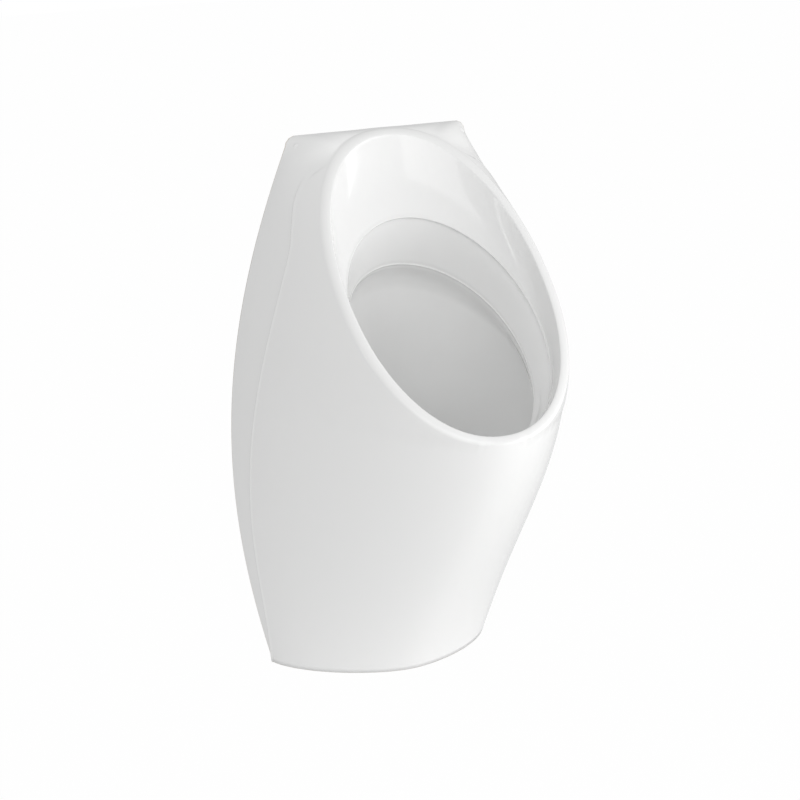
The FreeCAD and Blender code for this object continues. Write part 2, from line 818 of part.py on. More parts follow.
def add_waste():
    middle = dict(y="-drain_depth")
    tail = "tail_length"
    thread = tail + " + waste_thread_length"
    seat = thread + " + flange_thickness - strainer_seat_depth"
    rim = thread + " + flange_thickness"
    corners = [("tail_radius - tail_wall", "0"), ("tail_radius", "0"), ("tail_radius", tail),
               ("waste_thread_radius", tail), ("waste_thread_radius", thread), ("flange_radius", thread),
               ("flange_radius", rim + " - 1"), ("flange_radius - 1", rim), ("strainer_seat_radius", rim),
               ("strainer_seat_radius", seat), ("waste_bore", seat), ("waste_bore", tail + " + 3"),
               ("tail_radius - tail_wall", tail)]
    flange = turned("waste_flange", corners, z=THREAD_END + " - tail_length", **middle)

    thread_hole = "waste_thread_radius + running_gap"
    upper_seal = ring("waste_upper_seal", "seal_radius", thread_hole, "upper_seal_thickness",
                      z="drain_seat_z", **middle)
    lower_z = SPIGOT_END + " - lower_seal_thickness"
    lower_seal = ring("waste_lower_seal", "seal_radius", thread_hole, "lower_seal_thickness",
                      z=lower_z, **middle)
    washer_z = lower_z + " - slip_washer_thickness"
    washer = ring("waste_slip_washer", "seal_radius", thread_hole, "slip_washer_thickness",
                  z=washer_z, **middle)
    backnut = hex_nut("waste_backnut", "backnut_flats", thread_hole, "backnut_height",
                      z=washer_z + " - backnut_height", **middle)

    # a domed grid on a plate, with a skirt that keeps it central; the dome is turned thin
    skirt = "strainer_skirt_length"
    plate = skirt + " + strainer_plate"
    dome = plate + " + strainer_dome"
    inner = "strainer_skirt_radius - 1.5"
    corners = [(inner, "0"), ("strainer_skirt_radius", "0"), ("strainer_skirt_radius", skirt),
               ("strainer_radius", skirt), ("strainer_radius", plate),
               ("strainer_radius * 0.86", skirt + " + strainer_plate + strainer_dome * 0.42"),
               ("strainer_radius * 0.6", skirt + " + strainer_plate + strainer_dome * 0.8"),
               ("strainer_radius * 0.3", skirt + " + strainer_plate + strainer_dome * 0.97"),
               ("0", dome), ("0", dome + " - 1.5"),
               ("strainer_radius * 0.3", skirt + " + strainer_plate + strainer_dome * 0.97 - 1.5"),
               (inner, skirt + " + strainer_plate + strainer_dome * 0.6 - 1.5")]
    strainer = new_body("strainer")
    turn_outline(strainer, "strainer_dome", corners)
    doc.recompute()
    finger_hole = new_sketch(strainer, "strainer_finger_hole", "XY_Plane")
    draw_circle(finger_hole, "strainer_lift_hole_radius")
    cut_up(strainer, "strainer_finger_cut", finger_hole)
    holes = new_sketch(strainer, "strainer_holes", "XY_Plane")
    draw_circle(holes, "strainer_hole_radius", across="strainer_ring_radius")
    repeat_round(strainer, cut_up(strainer, "strainer_hole_cut", holes), 8)
    place(strainer, y="-drain_depth", z=SEAT_TOP + " + flange_thickness - strainer_seat_depth - " + skirt)
    return [flange, upper_seal, lower_seal, washer, backnut, strainer]


def cut_up(body, name, sketch):
    # cuts a sketch on the lower plane upwards through the whole body
    pocket = body.newObject("PartDesign::Pocket", name)
    pocket.Profile = sketch
    pocket.Type = 1
    pocket.Reversed = True
    doc.recompute()
    return pocket


# ---------------------------------------------------------------- trap
def union_nut(label, thread, pipe_radius, skirt, ribs, **spot):
    # a plastic nut: a threaded skirt, and an inward lip that presses on the seal
    outer = f"{thread} + nut_wall"
    height = f"{skirt} + cone_seal_height + nut_lip"
    seal_end = f"{skirt} + cone_seal_height"
    body = new_body(label)
    turn_outline(body, label + "_turned",
                 [(f"{thread} + running_gap", "0"), (outer, "0"), (outer, height + " - 1.5"),
                  (outer + " - 1.5", height), (f"{pipe_radius} + slip_gap", height),
                  (f"{pipe_radius} + slip_gap", seal_end), (f"{thread} + running_gap", seal_end)])
    doc.recompute()
    add_grip_ribs(body, label + "_ribs", outer, height + " - 3", ribs)
    place(body, **spot)
    return body


def add_trap():
    middle = dict(y="-drain_depth")
    dip_outer = "tail_radius + slip_gap + dip_wall"
    dip_inner = "tail_radius + slip_gap"
    length = "dip_length"
    dip = turned("dip_tube", [(dip_inner, "0"), (dip_outer, "0"), (dip_outer, length),
                              ("neck_radius - 1.5", length), ("neck_radius - 1.5", length + " + dip_flange_thickness"),
                              (dip_inner, length + " + dip_flange_thickness")],
                 z=NECK_TOP + " - dip_length", **middle)
    seal_z = NECK_TOP + " + dip_flange_thickness"
    top_seal = turned("trap_top_seal",
                      [("tail_radius + running_gap", "0"), ("neck_radius - 0.5", "0"),
                       ("neck_radius - 0.5", "cone_seal_height * 0.4"),
                       ("tail_radius + 3", "cone_seal_height"), ("tail_radius + running_gap", "cone_seal_height")],
                      z=seal_z, **middle)
    top_nut = union_nut("trap_top_nut", "neck_radius", "tail_radius", "nut_skirt", 12,
                        z=seal_z + " - nut_skirt", **middle)

    # the bottle: neck, shoulder, side wall and a branch towards the wall
    branch_length = "drain_depth - branch_end_depth"
    outside = joined("bottle_outside", [
        cylinder("bottle_side", "bottle_radius", "bottle_length", z=BOTTLE_END, **middle),
        cylinder("bottle_neck", "neck_radius", "neck_length", z=SHOULDER, **middle),
        cylinder("bottle_branch", "branch_radius", branch_length, z=OUTLET_Z, rotation=ALONG_Y, **middle)])
    inside = joined("bottle_inside", [
        cylinder("bottle_room", "bottle_radius - bottle_wall", "bottle_length - bottle_wall - 1",
                 z=BOTTLE_END, **middle),
        cylinder("bottle_mouth", dip_outer + " + slip_gap", "neck_length + bottle_wall + 2",
                 z=SHOULDER + " - bottle_wall - 2", **middle),
        cylinder("bottle_branch_bore", "tail_radius + slip_gap", branch_length, z=OUTLET_Z,
                 rotation=ALONG_Y, **middle)])
    bottle = cut_away("trap_body", outside, inside)

    # the cup screws on from below, with a flat seal on its shelf
    shelf = "cup_floor + cup_depth"
    brim = shelf + " + cup_seal_thickness + cup_thread_length"
    outer = "bottle_radius + cup_wall"
    cup_z = BOTTLE_END + " - cup_seal_thickness - cup_floor - cup_depth"
    cup = new_body("trap_cup")
    turn_outline(cup, "trap_cup_turned",
                 [("0", "0"), (outer + " - 3", "0"), (outer, "3"), (outer, brim),
                  ("bottle_radius + running_gap", brim), ("bottle_radius + running_gap", shelf),
                  ("bottle_radius - 4", shelf), ("bottle_radius - 4", "cup_floor"), ("0", "cup_floor")])
    doc.recompute()
    add_grip_ribs(cup, "trap_cup_ribs", outer, brim + " - 2", 16)
    place(cup, z=cup_z, **middle)
    cup_seal = ring("trap_cup_seal", "bottle_radius", "bottle_radius - 3.5", "cup_seal_thickness",
                    z=BOTTLE_END + " - cup_seal_thickness", **middle)

    # the outlet: a plain pipe through a nut and cone seal, and a rubber sleeve for the wall socket
    axis = dict(z=OUTLET_Z, rotation=ALONG_Y)
    out_pipe = ring("outlet_pipe", "tail_radius", "tail_radius - tail_wall",
                    "outlet_pipe_start_depth + outlet_pipe_end", y="-outlet_pipe_start_depth", **axis)
    cone = turned("outlet_cone_seal",
                  [("tail_radius + running_gap", "0"), ("branch_radius - 0.5", "0"),
                   ("tail_radius + 1.5", "cone_seal_height"),
                   ("tail_radius + running_gap", "cone_seal_height")], y="-branch_end_depth", **axis)
    nut = union_nut("outlet_nut", "branch_radius", "tail_radius", "8", 12, y="-branch_end_depth - 8", **axis)
    sleeve = turned("outlet_wall_sleeve",
                    [("tail_radius + running_gap", "0"), ("sleeve_radius + 3", "0"),
                     ("sleeve_radius + 3", "2"), ("sleeve_radius", "2"),
                     ("sleeve_radius", "sleeve_length"), ("tail_radius + running_gap", "sleeve_length")],
                    y="sleeve_start", **axis)
    return [dip, top_seal, top_nut, bottle, cup, cup_seal, out_pipe, cone, nut, sleeve]


# ---------------------------------------------------------------- hanging and fixing
def add_hangers():
    # a flat steel hook: plate on the wall, shelf under the rib and an upturned end
    bracket = new_body("hanger_bracket_right")
    sketch = new_sketch(bracket, "bracket_outline", "YZ_Plane")
    sheet_metal = "bracket_thickness"
    draw_outline(sketch, [("0", "0"), ("bracket_reach", "0"), ("bracket_reach", "bracket_height"),
                          ("bracket_reach - " + sheet_metal, "bracket_height"),
                          ("bracket_reach - " + sheet_metal, sheet_metal), (sheet_metal, sheet_metal),
                          (sheet_metal, "bracket_hook"), ("0", "bracket_hook")])
    pad = bracket.newObject("PartDesign::Pad", "bracket_pad")
    pad.Profile = sketch
    pad.setExpression("Length", sized("bracket_width"))
    doc.recompute()
    holes = new_sketch(bracket, "bracket_holes", "XZ_Plane")
    shelf_z = "rib_bottom_z - pad_thickness - bracket_thickness"
    for row_shift in ("", " + screw_spacing"):
        draw_circle(holes, "screw_radius + 0.6", across="bracket_width / 2",
                    up=f"screw_low_z{row_shift} - ({shelf_z})")
    pocket = bracket.newObject("PartDesign::Pocket", "bracket_hole_cut")
    pocket.Profile = holes
    pocket.Type = 1
    pocket.Midplane = True
    place(bracket, x="bracket_across - bracket_width / 2", y="-bracket_reach", z=shelf_z)
    left = mirrored("hanger_bracket_left", bracket)

    pad_right = box("hanger_pad_right", "bracket_width - 2", "bracket_reach - 2 * bracket_thickness - 0.2",
                    "pad_thickness", x="bracket_across - bracket_width / 2 + 1",
                    y="-bracket_reach + bracket_thickness + 0.1", z="rib_bottom_z - pad_thickness")
    pads = mirrored_group("hanger_pads", [pad_right])

    screws, washers, plugs = [], [], []
    head_y = "-bracket_thickness - screw_washer_thickness - screw_head_height"
    screw_depth = "screw_length - bracket_thickness - screw_washer_thickness - plug_start + tip_gap"
    for name, z in (("low", "screw_low_z"), ("high", "screw_low_z + screw_spacing")):
        spot = dict(x="bracket_across", z=z, rotation=ALONG_Y)
        screw = new_body("screw_" + name)
        hex_piece(screw, f"screw_{name}_head", "screw_head_flats", "screw_head_height")
        doc.recompute()
        turn_outline(screw, f"screw_{name}_shank",
                     [("0", "screw_head_height - 1"), ("screw_radius", "screw_head_height - 1"),
                      ("screw_radius", "screw_head_height + screw_length - 4"),
                      ("screw_radius * 0.3", "screw_head_height + screw_length"),
                      ("0", "screw_head_height + screw_length")])
        place(screw, y=head_y, **spot)
        screws.append(screw)
        washers.append(ring("washer_" + name, "screw_washer_radius", "screw_radius + slip_gap",
                            "screw_washer_thickness", y="-bracket_thickness - screw_washer_thickness", **spot))
        plugs.append(wall_plug("plug_" + name, "screw_radius", screw_depth, "screw_plug_radius",
                               "screw_plug_length", **spot))
    return [bracket, left, pads, mirrored_group("hanger_screws", screws),
            mirrored_group("hanger_washers", washers), mirrored_group("hanger_wall_plugs", plugs)]


def wall_plug(label, bore, depth, outer, length, **spot):
    # a nylon plug: a collar, a slightly slimmer sleeve round the screw with two grooves, and a solid nose
    inner, sleeve, groove = f"{bore} + running_gap", f"{outer} - 0.2", f"{outer} - 0.7"
    corners = [(inner, "0"), (f"{outer} + 0.8", "0"), (f"{outer} + 0.8", "1"), (sleeve, "1.8")]
    for share, after in (("0.3", sleeve), ("0.6", outer)):
        corners += [(sleeve, f"{length} * {share}"), (groove, f"{length} * {share} + 1"),
                    (groove, f"{length} * {share} + 3"), (after, f"{length} * {share} + 4")]
    corners += [(outer, f"{length} - 6"), (f"{bore} + 1", length), ("0", length), ("0", depth), (inner, depth)]
    return turned(label, corners, y="plug_start", **spot)


def add_lower_fixings():
    spot = dict(x="stud_across", z="stud_z", rotation=ALONG_Y)
    whole = "stud_front_depth + stud_back_length"
    stud = turned("stud", [("0", "0"), ("stud_radius - 0.8", "0"), ("stud_radius", "0.8"),
                           ("stud_radius", whole + " - 6"), ("stud_radius * 0.3", whole), ("0", whole)],
                  y="-stud_front_depth", **spot)
    plug = wall_plug("stud_plug", "stud_radius", "stud_back_length - plug_start + tip_gap", "stud_plug_radius",
                     "stud_plug_length", **spot)
    bush = ring("stud_bush", "bush_radius - running_gap", "stud_radius + running_gap", "lug_depth",
                y="-lug_depth", **spot)
    washer = ring("stud_washer", "stud_washer_radius", "stud_radius + slip_gap", "stud_washer_thickness",
                  y="-lug_depth - stud_washer_thickness", **spot)
    nut = hex_nut("stud_nut", "stud_nut_flats", "stud_radius + running_gap", "stud_nut_height",
                  y="-lug_depth - stud_washer_thickness - stud_nut_height", **spot)
    groups = (("lower_studs", stud), ("lower_stud_plugs", plug), ("lower_stud_bushes", bush),
              ("lower_stud_washers", washer), ("lower_stud_nuts", nut))
    return [mirrored_group(label, [piece]) for label, piece in groups]


# ---------------------------------------------------------------- build, check and write
pieces = [add_china()] + add_inlet() + add_waste() + add_trap() + add_hangers() + add_lower_fixings()
doc.recompute()

faults = []
for item in doc.Objects:
    if "Invalid" in item.State or "Error" in item.State:
        faults.append(f"{item.Label} {item.State}")
for piece in pieces:
    if piece.Shape.isNull() or not piece.Shape.isValid() or not piece.Shape.Solids:
        faults.append(f"{piece.Label} has no valid solid")
if faults:
    raise RuntimeError("failed: " + "; ".join(faults))

os.makedirs("parts", exist_ok=True)
for piece in pieces:
    piece.Shape.exportStep(f"parts/{piece.Label}.step")
    bounds = piece.Shape.BoundBox
    print(f"{piece.Label:24s} solids {len(piece.Shape.Solids)} volume {piece.Shape.Volume / 1000:9.2f} cm3",
          f"x {bounds.XMin:.1f} {bounds.XMax:.1f} y {bounds.YMin:.1f} {bounds.YMax:.1f}",
          f"z {bounds.ZMin:.1f} {bounds.ZMax:.1f}")
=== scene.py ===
import bpy
import bmesh
import json
import math
from mathutils import Matrix, Vector


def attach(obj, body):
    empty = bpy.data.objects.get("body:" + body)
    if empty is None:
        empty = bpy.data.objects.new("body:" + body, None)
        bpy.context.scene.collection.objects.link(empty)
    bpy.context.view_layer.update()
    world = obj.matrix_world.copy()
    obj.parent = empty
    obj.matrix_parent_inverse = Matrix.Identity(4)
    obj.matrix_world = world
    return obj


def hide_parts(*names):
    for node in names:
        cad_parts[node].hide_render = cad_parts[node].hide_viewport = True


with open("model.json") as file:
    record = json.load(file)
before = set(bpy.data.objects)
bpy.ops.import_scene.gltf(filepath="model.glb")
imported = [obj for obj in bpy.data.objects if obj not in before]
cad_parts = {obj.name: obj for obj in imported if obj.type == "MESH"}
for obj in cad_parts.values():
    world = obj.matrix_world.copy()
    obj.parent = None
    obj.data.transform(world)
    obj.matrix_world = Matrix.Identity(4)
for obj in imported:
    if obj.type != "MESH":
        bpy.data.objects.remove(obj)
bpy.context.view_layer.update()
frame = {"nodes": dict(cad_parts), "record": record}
scene = bpy.context.scene
millimetre = 0.001
print("frame loaded with", len(frame["nodes"]), "nodes")


# the photograph's viewpoint, solved from the outline; lengths in millimetres
viewpoint = {
    "azimuth": 24.89,
    "elevation": 17.8,
    "focalPixels": 2542.4,
    "framePixels": 800.0,
    "aim": (0.0, -109.4, 285.9),
    "aimPixel": (420.68, 421.73),
    "distance": 2610.4,
    "sensorWidth": 36.0,
    "clipEnd": 30000.0,
}


def placeCamera(view):
    azimuth, elevation = math.radians(view["azimuth"]), math.radians(view["elevation"])
    ahead = Vector((math.sin(azimuth) * math.cos(elevation), math.cos(azimuth) * math.cos(elevation),
                    -math.sin(elevation)))
    right = Vector((math.cos(azimuth), -math.sin(azimuth), 0.0))
    up = right.cross(ahead)
    middle = view["framePixels"] / 2
    perPixel = view["distance"] / view["focalPixels"]
    spot = Vector(view["aim"]) - ahead * view["distance"]
    spot -= right * (view["aimPixel"][0] - middle) * perPixel
    spot += up * (view["aimPixel"][1] - middle) * perPixel
    camera = bpy.data.objects.new("camera", bpy.data.cameras.new("camera"))
    camera.data.sensor_width = view["sensorWidth"]
    camera.data.lens = view["sensorWidth"] * view["focalPixels"] / view["framePixels"]
    camera.data.clip_end = view["clipEnd"] * millimetre
    turn = Matrix((right, up, -ahead)).transposed().to_4x4()
    camera.matrix_world = Matrix.Translation(spot * millimetre) @ turn
    scene.collection.objects.link(camera)
    scene.camera = camera


placeCamera(viewpoint)


# materials: two small classes for node trees, then a function for each material
class ShaderValue:
    # an output of a node; plain arithmetic on it makes Math nodes
    def __init__(self, paint, socket):
        self.paint, self.socket = paint, socket

    def joined(self, operation, first, second):
        return self.paint.node("Math", {"operation": operation}, {0: first, 1: second})

    def __add__(self, other):
        return self.joined("ADD", self, other)

    def __radd__(self, other):
        return self.joined("ADD", other, self)

    def __sub__(self, other):
        return self.joined("SUBTRACT", self, other)

    def __rsub__(self, other):
        return self.joined("SUBTRACT", other, self)

    def __mul__(self, other):
        return self.joined("MULTIPLY", self, other)

    def __rmul__(self, other):
        return self.joined("MULTIPLY", other, self)

    def __gt__(self, other):
        return self.joined("GREATER_THAN", self, other)

    def __lt__(self, other):
        return self.joined("LESS_THAN", self, other)

    def most(self, other):
        return self.joined("MAXIMUM", self, other)

    def between(self, low, high):
        # 0 below low, 1 above high, straight between them
        sockets = {"Value": self, "From Min": low, "From Max": high}
        return self.paint.node("MapRange", {"clamp": True}, sockets)


class Paint:
    # one material; node() makes a node with its settings and with values or links on its sockets
    def __init__(self, name):
        self.material = bpy.data.materials.new(name)
        self.material.use_nodes = True
        self.tree = self.material.node_tree
        self.place = self.node("TexCoord", output=3)

    def node(self, kind, settings=None, sockets=None, output=0):
        made = self.tree.nodes.new("ShaderNode" + kind)
        for name, value in (settings or {}).items():
            setattr(made, name, value)
        self.fill(made, sockets or {})
        return ShaderValue(self, made.outputs[output])

    def fill(self, node, sockets):
        for name, value in sockets.items():
            if isinstance(value, ShaderValue):
                self.tree.links.new(value.socket, node.inputs[name])
            else:
                node.inputs[name].default_value = value

    def surface(self, **sockets):
        named = {name.replace("_", " "): value for name, value in sockets.items()}
        self.fill(self.tree.nodes["Principled BSDF"], named)
        return self.material

    def noise(self, scale, detail=2.0, stretch=(1.0, 1.0, 1.0)):
        # scale is in waves per metre
        place = self.node("Mapping", {}, {"Vector": self.place, "Scale": stretch})
        return self.node("TexNoise", {}, {"Vector": place, "Scale": scale, "Detail": detail})

    def colours(self, share, first, second):
        sockets = {0: share, 6: (*first, 1.0), 7: (*second, 1.0)}
        return self.node("Mix", {"data_type": "RGBA"}, sockets, output=2)

    def mixed(self, share, first, second):
        return first + (second - first) * share

    def bump(self, height, depth, strength=1.0):
        return self.node("Bump", {}, {"Height": height, "Distance": depth, "Strength": strength})

    def along(self, axis):
        return self.node("SeparateXYZ", {}, {0: self.place}, output="XYZ".index(axis))


# in metres: the china is bare clay behind the first and below the second
bareEdges = {"wall": -0.0006, "foot": 0.0003}


def glazedChina():
    # a thick white glaze with slow waves in it; bare cream clay on the wall side and under the foot
    paint = Paint("glazed china")
    bare = (paint.along("Y") > bareEdges["wall"]).most(paint.along("Z") < bareEdges["foot"])
    grain = paint.noise(1500.0, 3.0)
    slow, peel = paint.noise(11.0, 1.0), paint.noise(150.0, 2.0)
    glaze = paint.colours(paint.noise(5.0, 1.0), (0.85, 0.853, 0.85), (0.835, 0.835, 0.83))
    clay = paint.colours(grain, (0.66, 0.60, 0.50), (0.76, 0.71, 0.62))
    colour = paint.node("Mix", {"data_type": "RGBA"}, {0: bare, 6: glaze, 7: clay}, output=2)
    gloss = 0.09 + 0.05 * slow
    height = paint.mixed(bare, slow * 0.9 + peel * 0.02, grain * 0.15)
    return paint.surface(Base_Color=colour, Roughness=paint.mixed(bare, gloss, 0.72),
                         Normal=paint.bump(height, 0.0006, 0.25))


def castBrass():
    # turned brass, a little dulled, with fine lathe lines round its length
    paint = Paint("brass")
    dull = paint.noise(60.0, 4.0).between(0.42, 0.68)
    lines = paint.noise(300.0, 2.0, (1.0, 9.0, 1.0))
    colour = paint.colours(dull, (0.80, 0.60, 0.28), (0.52, 0.37, 0.17))
    return paint.surface(Base_Color=colour, Metallic=1.0, Roughness=0.20 + 0.16 * dull + 0.05 * lines,
                         Normal=paint.bump(lines, 0.0001, 0.25))


def brightChrome():
    paint = Paint("chromed brass")
    film = paint.noise(45.0, 3.0)
    spots = paint.noise(420.0, 2.0).between(0.64, 0.74)
    colour = paint.colours(spots, (0.82, 0.83, 0.84), (0.60, 0.61, 0.62))
    return paint.surface(Base_Color=colour, Metallic=1.0, Roughness=0.05 + 0.06 * film + 0.15 * spots,
                         Normal=paint.bump(film, 0.0002, 0.10))


def stainlessSteel():
    # pressed sheet with a brushed grain across it
    paint = Paint("stainless steel")
    grain = paint.noise(260.0, 3.0, (14.0, 1.0, 1.0))
    cloud = paint.noise(35.0, 2.0)
    colour = paint.colours(grain, (0.69, 0.69, 0.68), (0.57, 0.57, 0.56))
    return paint.surface(Base_Color=colour, Metallic=1.0, Roughness=0.20 + 0.14 * grain + 0.06 * cloud,
                         Normal=paint.bump(grain, 0.00008, 0.35))


def zincPlate():
    # bluish zinc plate with cloudy crystals, and duller patches
    paint = Paint("zinc plated steel")
    crystals = paint.node("TexVoronoi", {"feature": "F1"}, {"Vector": paint.place, "Scale": 380.0})
    cloud = paint.noise(70.0, 4.0).between(0.35, 0.70)
    colour = paint.colours(paint.mixed(0.5, crystals, cloud), (0.66, 0.68, 0.71), (0.50, 0.51, 0.53))
    return paint.surface(Base_Color=colour, Metallic=1.0, Roughness=0.26 + 0.10 * crystals + 0.12 * cloud,
                         Normal=paint.bump(crystals, 0.00006, 0.30))


def blackRubber():
    # moulded rubber with a fine grain and a grey bloom
    paint = Paint("black rubber")
    bloom = paint.noise(50.0, 4.0).between(0.45, 0.75)
    grain = paint.noise(2600.0, 2.0)
    colour = paint.colours(bloom, (0.022, 0.022, 0.023), (0.050, 0.050, 0.052))
    return paint.surface(Base_Color=colour, Roughness=0.52 + 0.16 * bloom,
                         Normal=paint.bump(grain, 0.00008, 0.5))


def redFibre():
    # pressed fibre, with strands a few tenths of a millimetre wide
    paint = Paint("red fibre")
    strands = paint.noise(900.0, 4.0, (1.0, 0.3, 2.5))
    colour = paint.colours(strands.between(0.3, 0.7), (0.36, 0.09, 0.05), (0.52, 0.17, 0.10))
    return paint.surface(Base_Color=colour, Roughness=0.70 + 0.12 * strands,
                         Normal=paint.bump(strands, 0.00015, 0.6))


def mouldedPlastic(name, low, high, gloss, spark):
    # injection moulded: a fine spark-eroded texture with slow flow waves under it
    paint = Paint(name)
    flow, texture = paint.noise(28.0, 2.0), paint.noise(spark, 2.0)
    colour = paint.colours(flow, low, high)
    return paint.surface(Base_Color=colour, Roughness=gloss + 0.08 * flow + 0.05 * texture,
                         Normal=paint.bump(texture + flow * 2.0, 0.00008, 0.4))


paints = {
    "glazed_china": glazedChina(),
    "brass": castBrass(),
    "chromed_brass": brightChrome(),
    "stainless_steel": stainlessSteel(),
    "zinc_plated_steel": zincPlate(),
    "black_rubber": blackRubber(),
    "red_fibre": redFibre(),
    "white_plastic": mouldedPlastic("white plastic", (0.80, 0.80, 0.78), (0.84, 0.84, 0.83), 0.26, 1900.0),
    "grey_nylon": mouldedPlastic("grey nylon", (0.20, 0.21, 0.22), (0.26, 0.27, 0.28), 0.42, 1300.0),
}

# every CAD node that stays is given the material of its slot in the record
for part in frame["record"]["subparts"]:
    node = frame["nodes"][part["node"]]
    node.data.materials.clear()
    node.data.materials.append(paints[part["material_slot"]])
print("materials made:", len(paints))


# shapes shared by the china's surfaces; all in millimetres: x across, y into the wall, z up
shellSizes = {
    "height": 571.7,                                  # of the wall outline
    "halfWidths": (124.3, 157.1, 165.5, 144.7, 97.1),  # of the wall outline, at quarters of that height
    "depths": (84.5, 155.1, 239.6, 304.0),            # of the front, at thirds of the lip's height
    "powers": (1.6, 1.8),                             # of the section, at the lower edge and at the lip
    "noseSoftness": 0.12,                             # rounds the section's front
    "cornerRadius": 11.0,                             # of the wall outline, at the top
    "stepDepths": (1.7, 28.9, 50.1, 73.0, 48.6),      # of the side step, at quarters of its height
    "stepTop": 550.0,
    "stepHeight": 2.5,
    "stepFade": 40.0,
    "wall": 10.0,
}

# ovals of the mouth: back edge (y, z), front edge (y, z), half width, power, egg
ovals = {
    "rim": ((-20.4, 575.0), (-304.0, 322.2), 114.9, 2.12, -0.03),
    "dish": ((-41.8, 528.0), (-289.8, 320.2), 103.4, 2.05, 0.0),
    "ridge": ((-61.6, 492.2), (-285.4, 311.2), 99.9, 2.0, 0.0),
    "hole": ((-43.3, 437.0), (-278.4, 305.8), 85.5, 2.0, 0.06),
    "bowlTop": ((-25.4, 437.5), (-275.4, 298.3), 97.4, 2.0, 0.0),
    "bowlHigh": ((-28.7, 374.0), (-261.0, 281.0), 95.6, 2.0, 0.0),
    "bowlLow": ((-30.5, 312.0), (-219.0, 260.0), 87.0, 2.0, 0.0),
    "bowlFloor": ((-33.0, 257.5), (-159.0, 240.5), 66.0, 2.0, 0.0),
    "seat": ((-35.0, 228.0), (-109.0, 228.0), 37.0, 2.0, 0.0),
    "bore": ((-49.0, 228.0), (-95.0, 228.0), 23.0, 2.0, 0.0),
    "boreEnd": ((-49.0, 198.0), (-95.0, 198.0), 23.0, 2.0, 0.0),
}

lipSizes = {
    "thickness": 9.0,
    "outerLeg": 3.6,       # from the mouth's edge to where the shell takes over
    "outerCrest": 0.1,     # how far the rounding reaches past the edge's two corners
    "innerCrest": 0.6,
    "lift": 1.3,
    "holeEdge": 0.8,       # radius of the box rim's edge
    "rows": 12,
    "handle": 0.9,         # how far towards the edge's two corners the rounding is drawn
    "heightShares": (-0.99, 0.985),  # the edge is followed by height between these, short of its ends
    # for telling outward from inward at the edge: a place in it, and a lean down and back
    "mouthMiddle": (0, -162, 449),
    "awayLean": (0, 0.6, -0.6),
}


def signedPower(value, power):
    return math.copysign(abs(value) ** power, value)


def mix(a, b, share):
    return a + (b - a) * share


def smoothStep(value):
    value = max(0.0, min(1.0, value))
    return value * value * (3 - 2 * value)


def smoothThrough(values, share):
    # one smooth curve through evenly spaced values
    total = 0.0
    for i, value in enumerate(values):
        for j in range(len(values)):
            if j != i:
                value *= (share - j) / (i - j)
        total += value
    return total


def halfWidth(z):
    return smoothThrough(shellSizes["halfWidths"], 4 * z / shellSizes["height"])


def stepY(z):
    return -smoothThrough(shellSizes["stepDepths"], 4 * z / shellSizes["stepTop"])


def stepProud(z):
    return shellSizes["stepHeight"] * smoothStep((shellSizes["stepTop"] - z) / shellSizes["stepFade"])


def sectionPower(z):
    low, high = shellSizes["powers"]
    return mix(low, high, min(1.0, z / ovals["rim"][1][1]))


def sectionShare(across, power):
    # how much of the depth is used up at a share of the half width; soft at the nose
    soft = shellSizes["noseSoftness"]
    base = soft ** power
    whole = (1 + soft * soft) ** (power / 2) - base
    return ((across * across + soft * soft) ** (power / 2) - base) / whole


def rimPoint(angle):
    return ovalPoint(ovals["rim"], angle)


def rimAtHeight(z):
    # half width and y of the mouth's outer edge at a height
    back, front, wide, power, egg = ovals["rim"]
    low, high = lipSizes["heightShares"]
    share = max(low, min(high, (2 * z - back[1] - front[1]) / (back[1] - front[1])))
    across = wide * (1 - abs(share) ** power) ** (1 / power) * (1 + egg * signedPower(share, power / 2))
    return across, mix(back[0], front[0], (1 - share) / 2)


def frontDepth(z, proud=0.0):
    # below the lip a curve through four depths; above it the section passes through the mouth's edge
    lipZ = ovals["rim"][1][1]
    if z <= lipZ:
        return smoothThrough(shellSizes["depths"], 3 * z / lipZ)
    across, y = rimAtHeight(z)
    power = sectionPower(z)
    return -y / (1 - sectionShare(across / (halfWidth(z) + proud), power)) ** (1 / power)


def shellPoint(z, angle, proud):
    # angle runs from 0 at the right wall edge over the nose to pi at the left wall edge
    power = sectionPower(z)
    across = math.cos(angle)
    left = max(0.0, 1 - sectionShare(across, power))
    return Vector(((halfWidth(z) + proud) * across, -frontDepth(z, proud) * left ** (1 / power), z))


def sidePoint(z, y, proud, side):
    # the shell's side at a height and a depth
    power = sectionPower(z)
    used = (min(1.0, abs(y) / frontDepth(z, proud))) ** power
    soft = shellSizes["noseSoftness"]
    base = soft ** power
    across = ((1 - used) * ((1 + soft * soft) ** (power / 2) - base) + base) ** (2 / power) - soft * soft
    return Vector((side * (halfWidth(z) + proud) * math.sqrt(max(0.0, across)), y, z))


def sideAngle(z, y, proud, side):
    point = sidePoint(z, y, proud, side)
    return math.acos(max(-1.0, min(1.0, point.x / (halfWidth(z) + proud))))


def ovalPoint(oval, angle, grow=0.0, lift=0.0):
    back, front, wide, power, egg = oval
    half = math.dist(back, front) / 2
    alongY, alongZ = (back[0] - front[0]) / 2 / half, (back[1] - front[1]) / 2 / half
    side = (wide + grow) * signedPower(math.cos(angle), 2 / power) * (1 + egg * math.sin(angle))
    reach = (half + grow) * signedPower(math.sin(angle), 2 / power)
    return Vector((side, (back[0] + front[0]) / 2 + reach * alongY - lift * alongZ,
                   (back[1] + front[1]) / 2 + reach * alongZ + lift * alongY))


def mixOvals(a, b, share):
    back = tuple(mix(a[0][i], b[0][i], share) for i in range(2))
    front = tuple(mix(a[1][i], b[1][i], share) for i in range(2))
    return (back, front) + tuple(mix(a[i], b[i], share) for i in range(2, 5))


